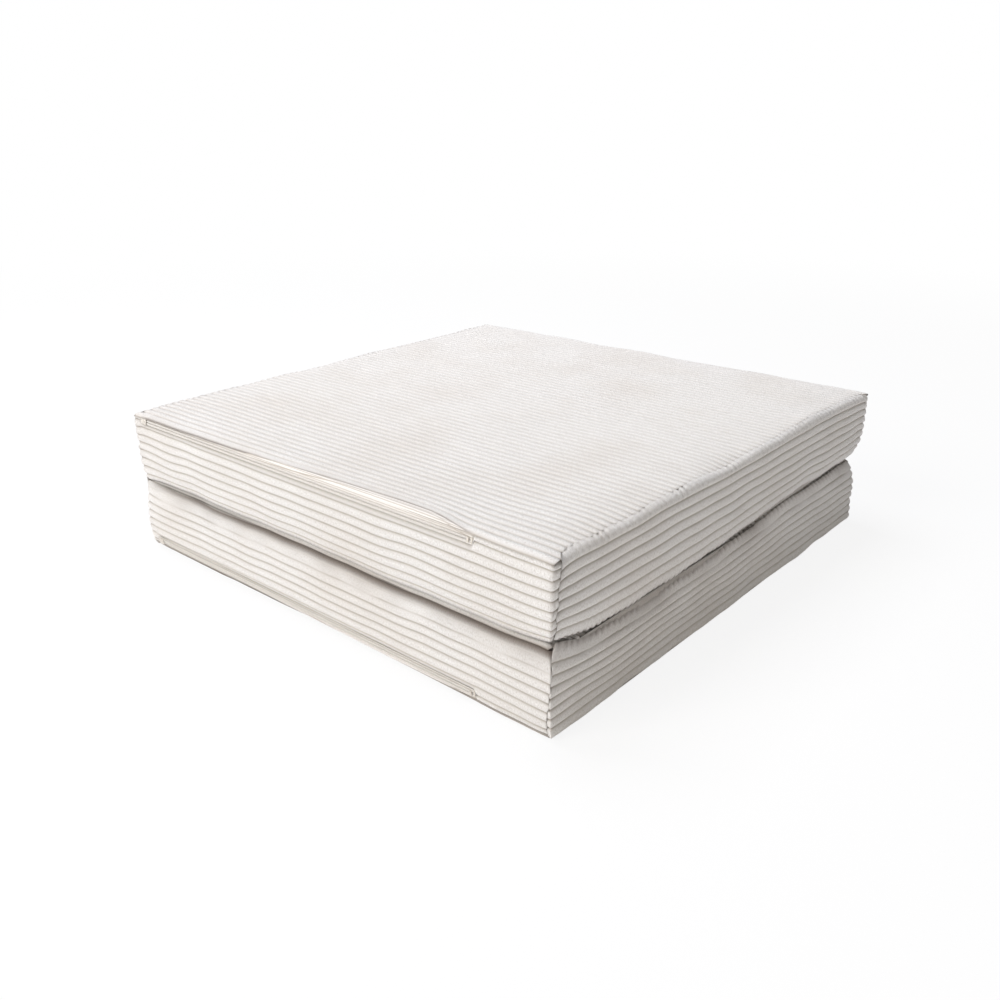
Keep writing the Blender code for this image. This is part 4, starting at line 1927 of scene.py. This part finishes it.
@dataclass
class Finishes:
    """The materials of the mattress, each made once."""

    corduroy: bpy.types.Material = field(default_factory=Corduroy().build)
    tape: bpy.types.Material = field(default_factory=ZipTape().build)
    foam: bpy.types.Material = field(default_factory=Foam().build)
    # Drawn nylon monofilament is smooth and slightly see-through, so it looks softly shiny
    nylon: bpy.types.Material = field(
        default_factory=Moulded("nylon_drawn_coil", "#ECE9E4", "#DAD5CD", 0.5).build
    )
    # Zinc lacquered in the cloth's colour: hard and smooth, thin enough to dull at its edges
    lacquer: bpy.types.Material = field(
        default_factory=Moulded("zinc_cast_lacquered", "#E2DDD5", "#C4BDB2", 0.5).build
    )
    # Spun polyester thread: matt, with fine fibres
    thread: bpy.types.Material = field(
        default_factory=Moulded("thread_spun_polyester", "#F2EDE4", "#D9CFC1", 0.8).build
    )


def dress(
    piece: bpy.types.Object,
    finish: bpy.types.Material,
    slot: str,
    body: str,
    *nodes: str,
) -> None:
    """Gives a piece its material, puts it on its body and in the place of its nodes.

    Args:
        piece: The piece.
        finish: Its material.
        slot: The record's material slot; not used.
        body: The body that it rides on.
        *nodes: The CAD nodes that it stands for.
    """
    piece.data.materials.append(finish)
    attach(piece, body)
    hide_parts(*nodes)
    LOG.info("%s on %s, %d faces", piece.name, body, len(piece.data.polygons))


@dataclass
class MattressHalf:
    """One half of the mattress: foam, cover and zip."""

    form: HalfForm
    finishes: Finishes
    nodes: dict[str, bpy.types.Object]
    foam_fill: float = 0.95
    stop_round: float = 0.3 * MM

    def build(self) -> None:
        """Builds every piece of the half."""
        half, finishes = self.form.half, self.finishes
        foam = FoamBlock(self.form).build()
        dress(foam, finishes.foam, "foam", half.body, f"{half.prefix}_foam_core")
        panels = [(FacePanel.cut(self.form, face), face.name, "panel") for face in Face]
        panels += [(BoxingPanel.cut(self.form, side), side.name, "boxing") for side in Side]
        for panel, place, kind in panels:
            node = f"{half.prefix}_{place.lower()}_{kind}"
            dress(panel.build(), finishes.corduroy, "corduroy", half.body, node)
        self.build_zip()

    def build_zip(self) -> None:
        """Builds the zip's pieces, and dresses the two stops that keep their CAD shape."""
        half, finishes = self.form.half, self.finishes
        zipper = Zip(self.form)
        for row in Face:
            node = f"{zipper.prefix}_{row.name.lower()}"
            tape = zipper.tape(row).build()
            dress(tape, finishes.tape, "zip_tape", half.body, f"{node}_tape")
            dress(zipper.coil(row), finishes.nylon, "zip_coil", half.body, f"{node}_coil")
        slider, body, node = zipper.slider(), f"{half.prefix}_slider", f"{zipper.prefix}_slider"
        dress(slider, finishes.lacquer, "zip_metal", body, node)
        tack, node = zipper.tack(), f"{zipper.prefix}_bar_tack"
        dress(tack, finishes.thread, "thread", half.body, node)
        for end in ("closed", "open"):
            stop = self.nodes[f"{zipper.prefix}_{end}_stop"]
            stop.data.materials.clear()
            stop.data.materials.append(finishes.lacquer)
            rounded = stop.modifiers.new("rounded_edges", "BEVEL")
            rounded.width = self.stop_round
            rounded.segments = 3
            LOG.info("%s keeps its CAD shape", stop.name)


@dataclass(frozen=True)
class Studio:
    """Floor, light and camera."""

    camera_place: Place = (0.8798, -1.0311, 0.6083)
    azimuth: float = 41.0
    elevation: float = 22.32
    roll: float = -0.35
    focal_pixels: float = 979.1
    image_pixels: float = 1000.0
    sensor: float = 36.0
    floor_size: float = 60.0
    aim: Place = (0, 0, 0.1)
    sky: float = 0.21

    def camera(self) -> None:
        """Places the camera that the photograph was fitted with."""
        azimuth, elevation = math.radians(self.azimuth), math.radians(self.elevation)
        level, rise = math.cos(elevation), math.sin(elevation)
        back = Vector((math.sin(azimuth) * level, -math.cos(azimuth) * level, rise))
        right = Vector((math.cos(azimuth), math.sin(azimuth), 0))
        up = back.cross(right)
        cos, sin = math.cos(math.radians(self.roll)), math.sin(math.radians(self.roll))
        right, up = right * cos + up * sin, up * cos - right * sin
        lens = bpy.data.cameras.new("camera")
        lens.sensor_width = self.sensor
        lens.lens = self.focal_pixels / self.image_pixels * self.sensor
        camera = new_object("camera", lens)
        turned = Matrix((right, up, back)).transposed().to_4x4()
        camera.matrix_world = Matrix.Translation(self.camera_place) @ turned
        bpy.context.scene.camera = camera

    def floor(self) -> None:
        """Lays the floor."""
        bm = bmesh.new()
        bmesh.ops.create_grid(bm, x_segments=1, y_segments=1, size=self.floor_size / 2)
        mesh = mesh_from(bm, "floor")
        mesh.materials.append(StudioFloor().build())
        floor = new_object("floor", mesh)

    def lamp(self, name: str, place: Place, size: float, power: float, colour: str) -> None:
        """Hangs a soft square lamp that faces the mattress.

        Args:
            name: Its name.
            place: Where it hangs.
            size: Length of its side.
            power: Its power in watts.
            colour: Its colour, as sRGB hex.
        """
        light = bpy.data.lights.new(name, "AREA")
        light.shape = "SQUARE"
        light.size = size
        light.energy = power
        light.color = srgb(colour)[:3]
        lamp = new_object(name, light)
        lamp.location = place
        aim = Vector(place) - Vector(self.aim)
        lamp.rotation_euler = aim.to_track_quat("Z", "Y").to_euler()

    def light(self) -> None:
        """Lights the mattress softly from the upper left, with a white room round it."""
        world = bpy.data.worlds.new("white_room")
        bpy.context.scene.world = world
        add = empty_tree(world)
        room = add("Background", {"Color": srgb("#FFFFFF"), "Strength": self.sky})
        white = add("Background", {"Color": (1, 1, 1, 1), "Strength": 1.0})
        mixed = add("MixShader", {0: seen_directly(add), 1: room, 2: white})
        add("OutputWorld", {"Surface": mixed})
        self.lamp("key", (-1.5, -5.0, 3.3), 2.8, 236, "#FFFBF7")
        self.lamp("overhead", (-1.6, -0.1, 3.7), 2.4, 115, "#F6F7FF")
        self.lamp("low_fill", (2.6, -1.0, 0.05), 0.9, 15, "#FFF1E2")

    def build(self) -> None:
        """Sets up the studio and the plain view."""
        self.camera()
        self.floor()
        self.light()
        bpy.context.scene.view_settings.view_transform = "Standard"


def main() -> None:
    """Dresses the mattress and sets up the studio."""
    logging.basicConfig(level=logging.INFO, format="%(name)s: %(message)s")
    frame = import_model()
    Studio().build()
    finishes = Finishes()
    for half in Half:
        MattressHalf(HalfForm(half), finishes, frame["nodes"]).build()
    strip = FoldHinge.cut(HalfForm(Half.LOWER))
    hinge = strip.build()
    hinge.data.materials.append(finishes.corduroy)
    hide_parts("fold_hinge_strip")
    Half.LOWER.body
    Half.UPPER.body
    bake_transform(hinge)
    LOG.info("%s bends between the halves", hinge.name)


if __name__ == "__main__":
    main()
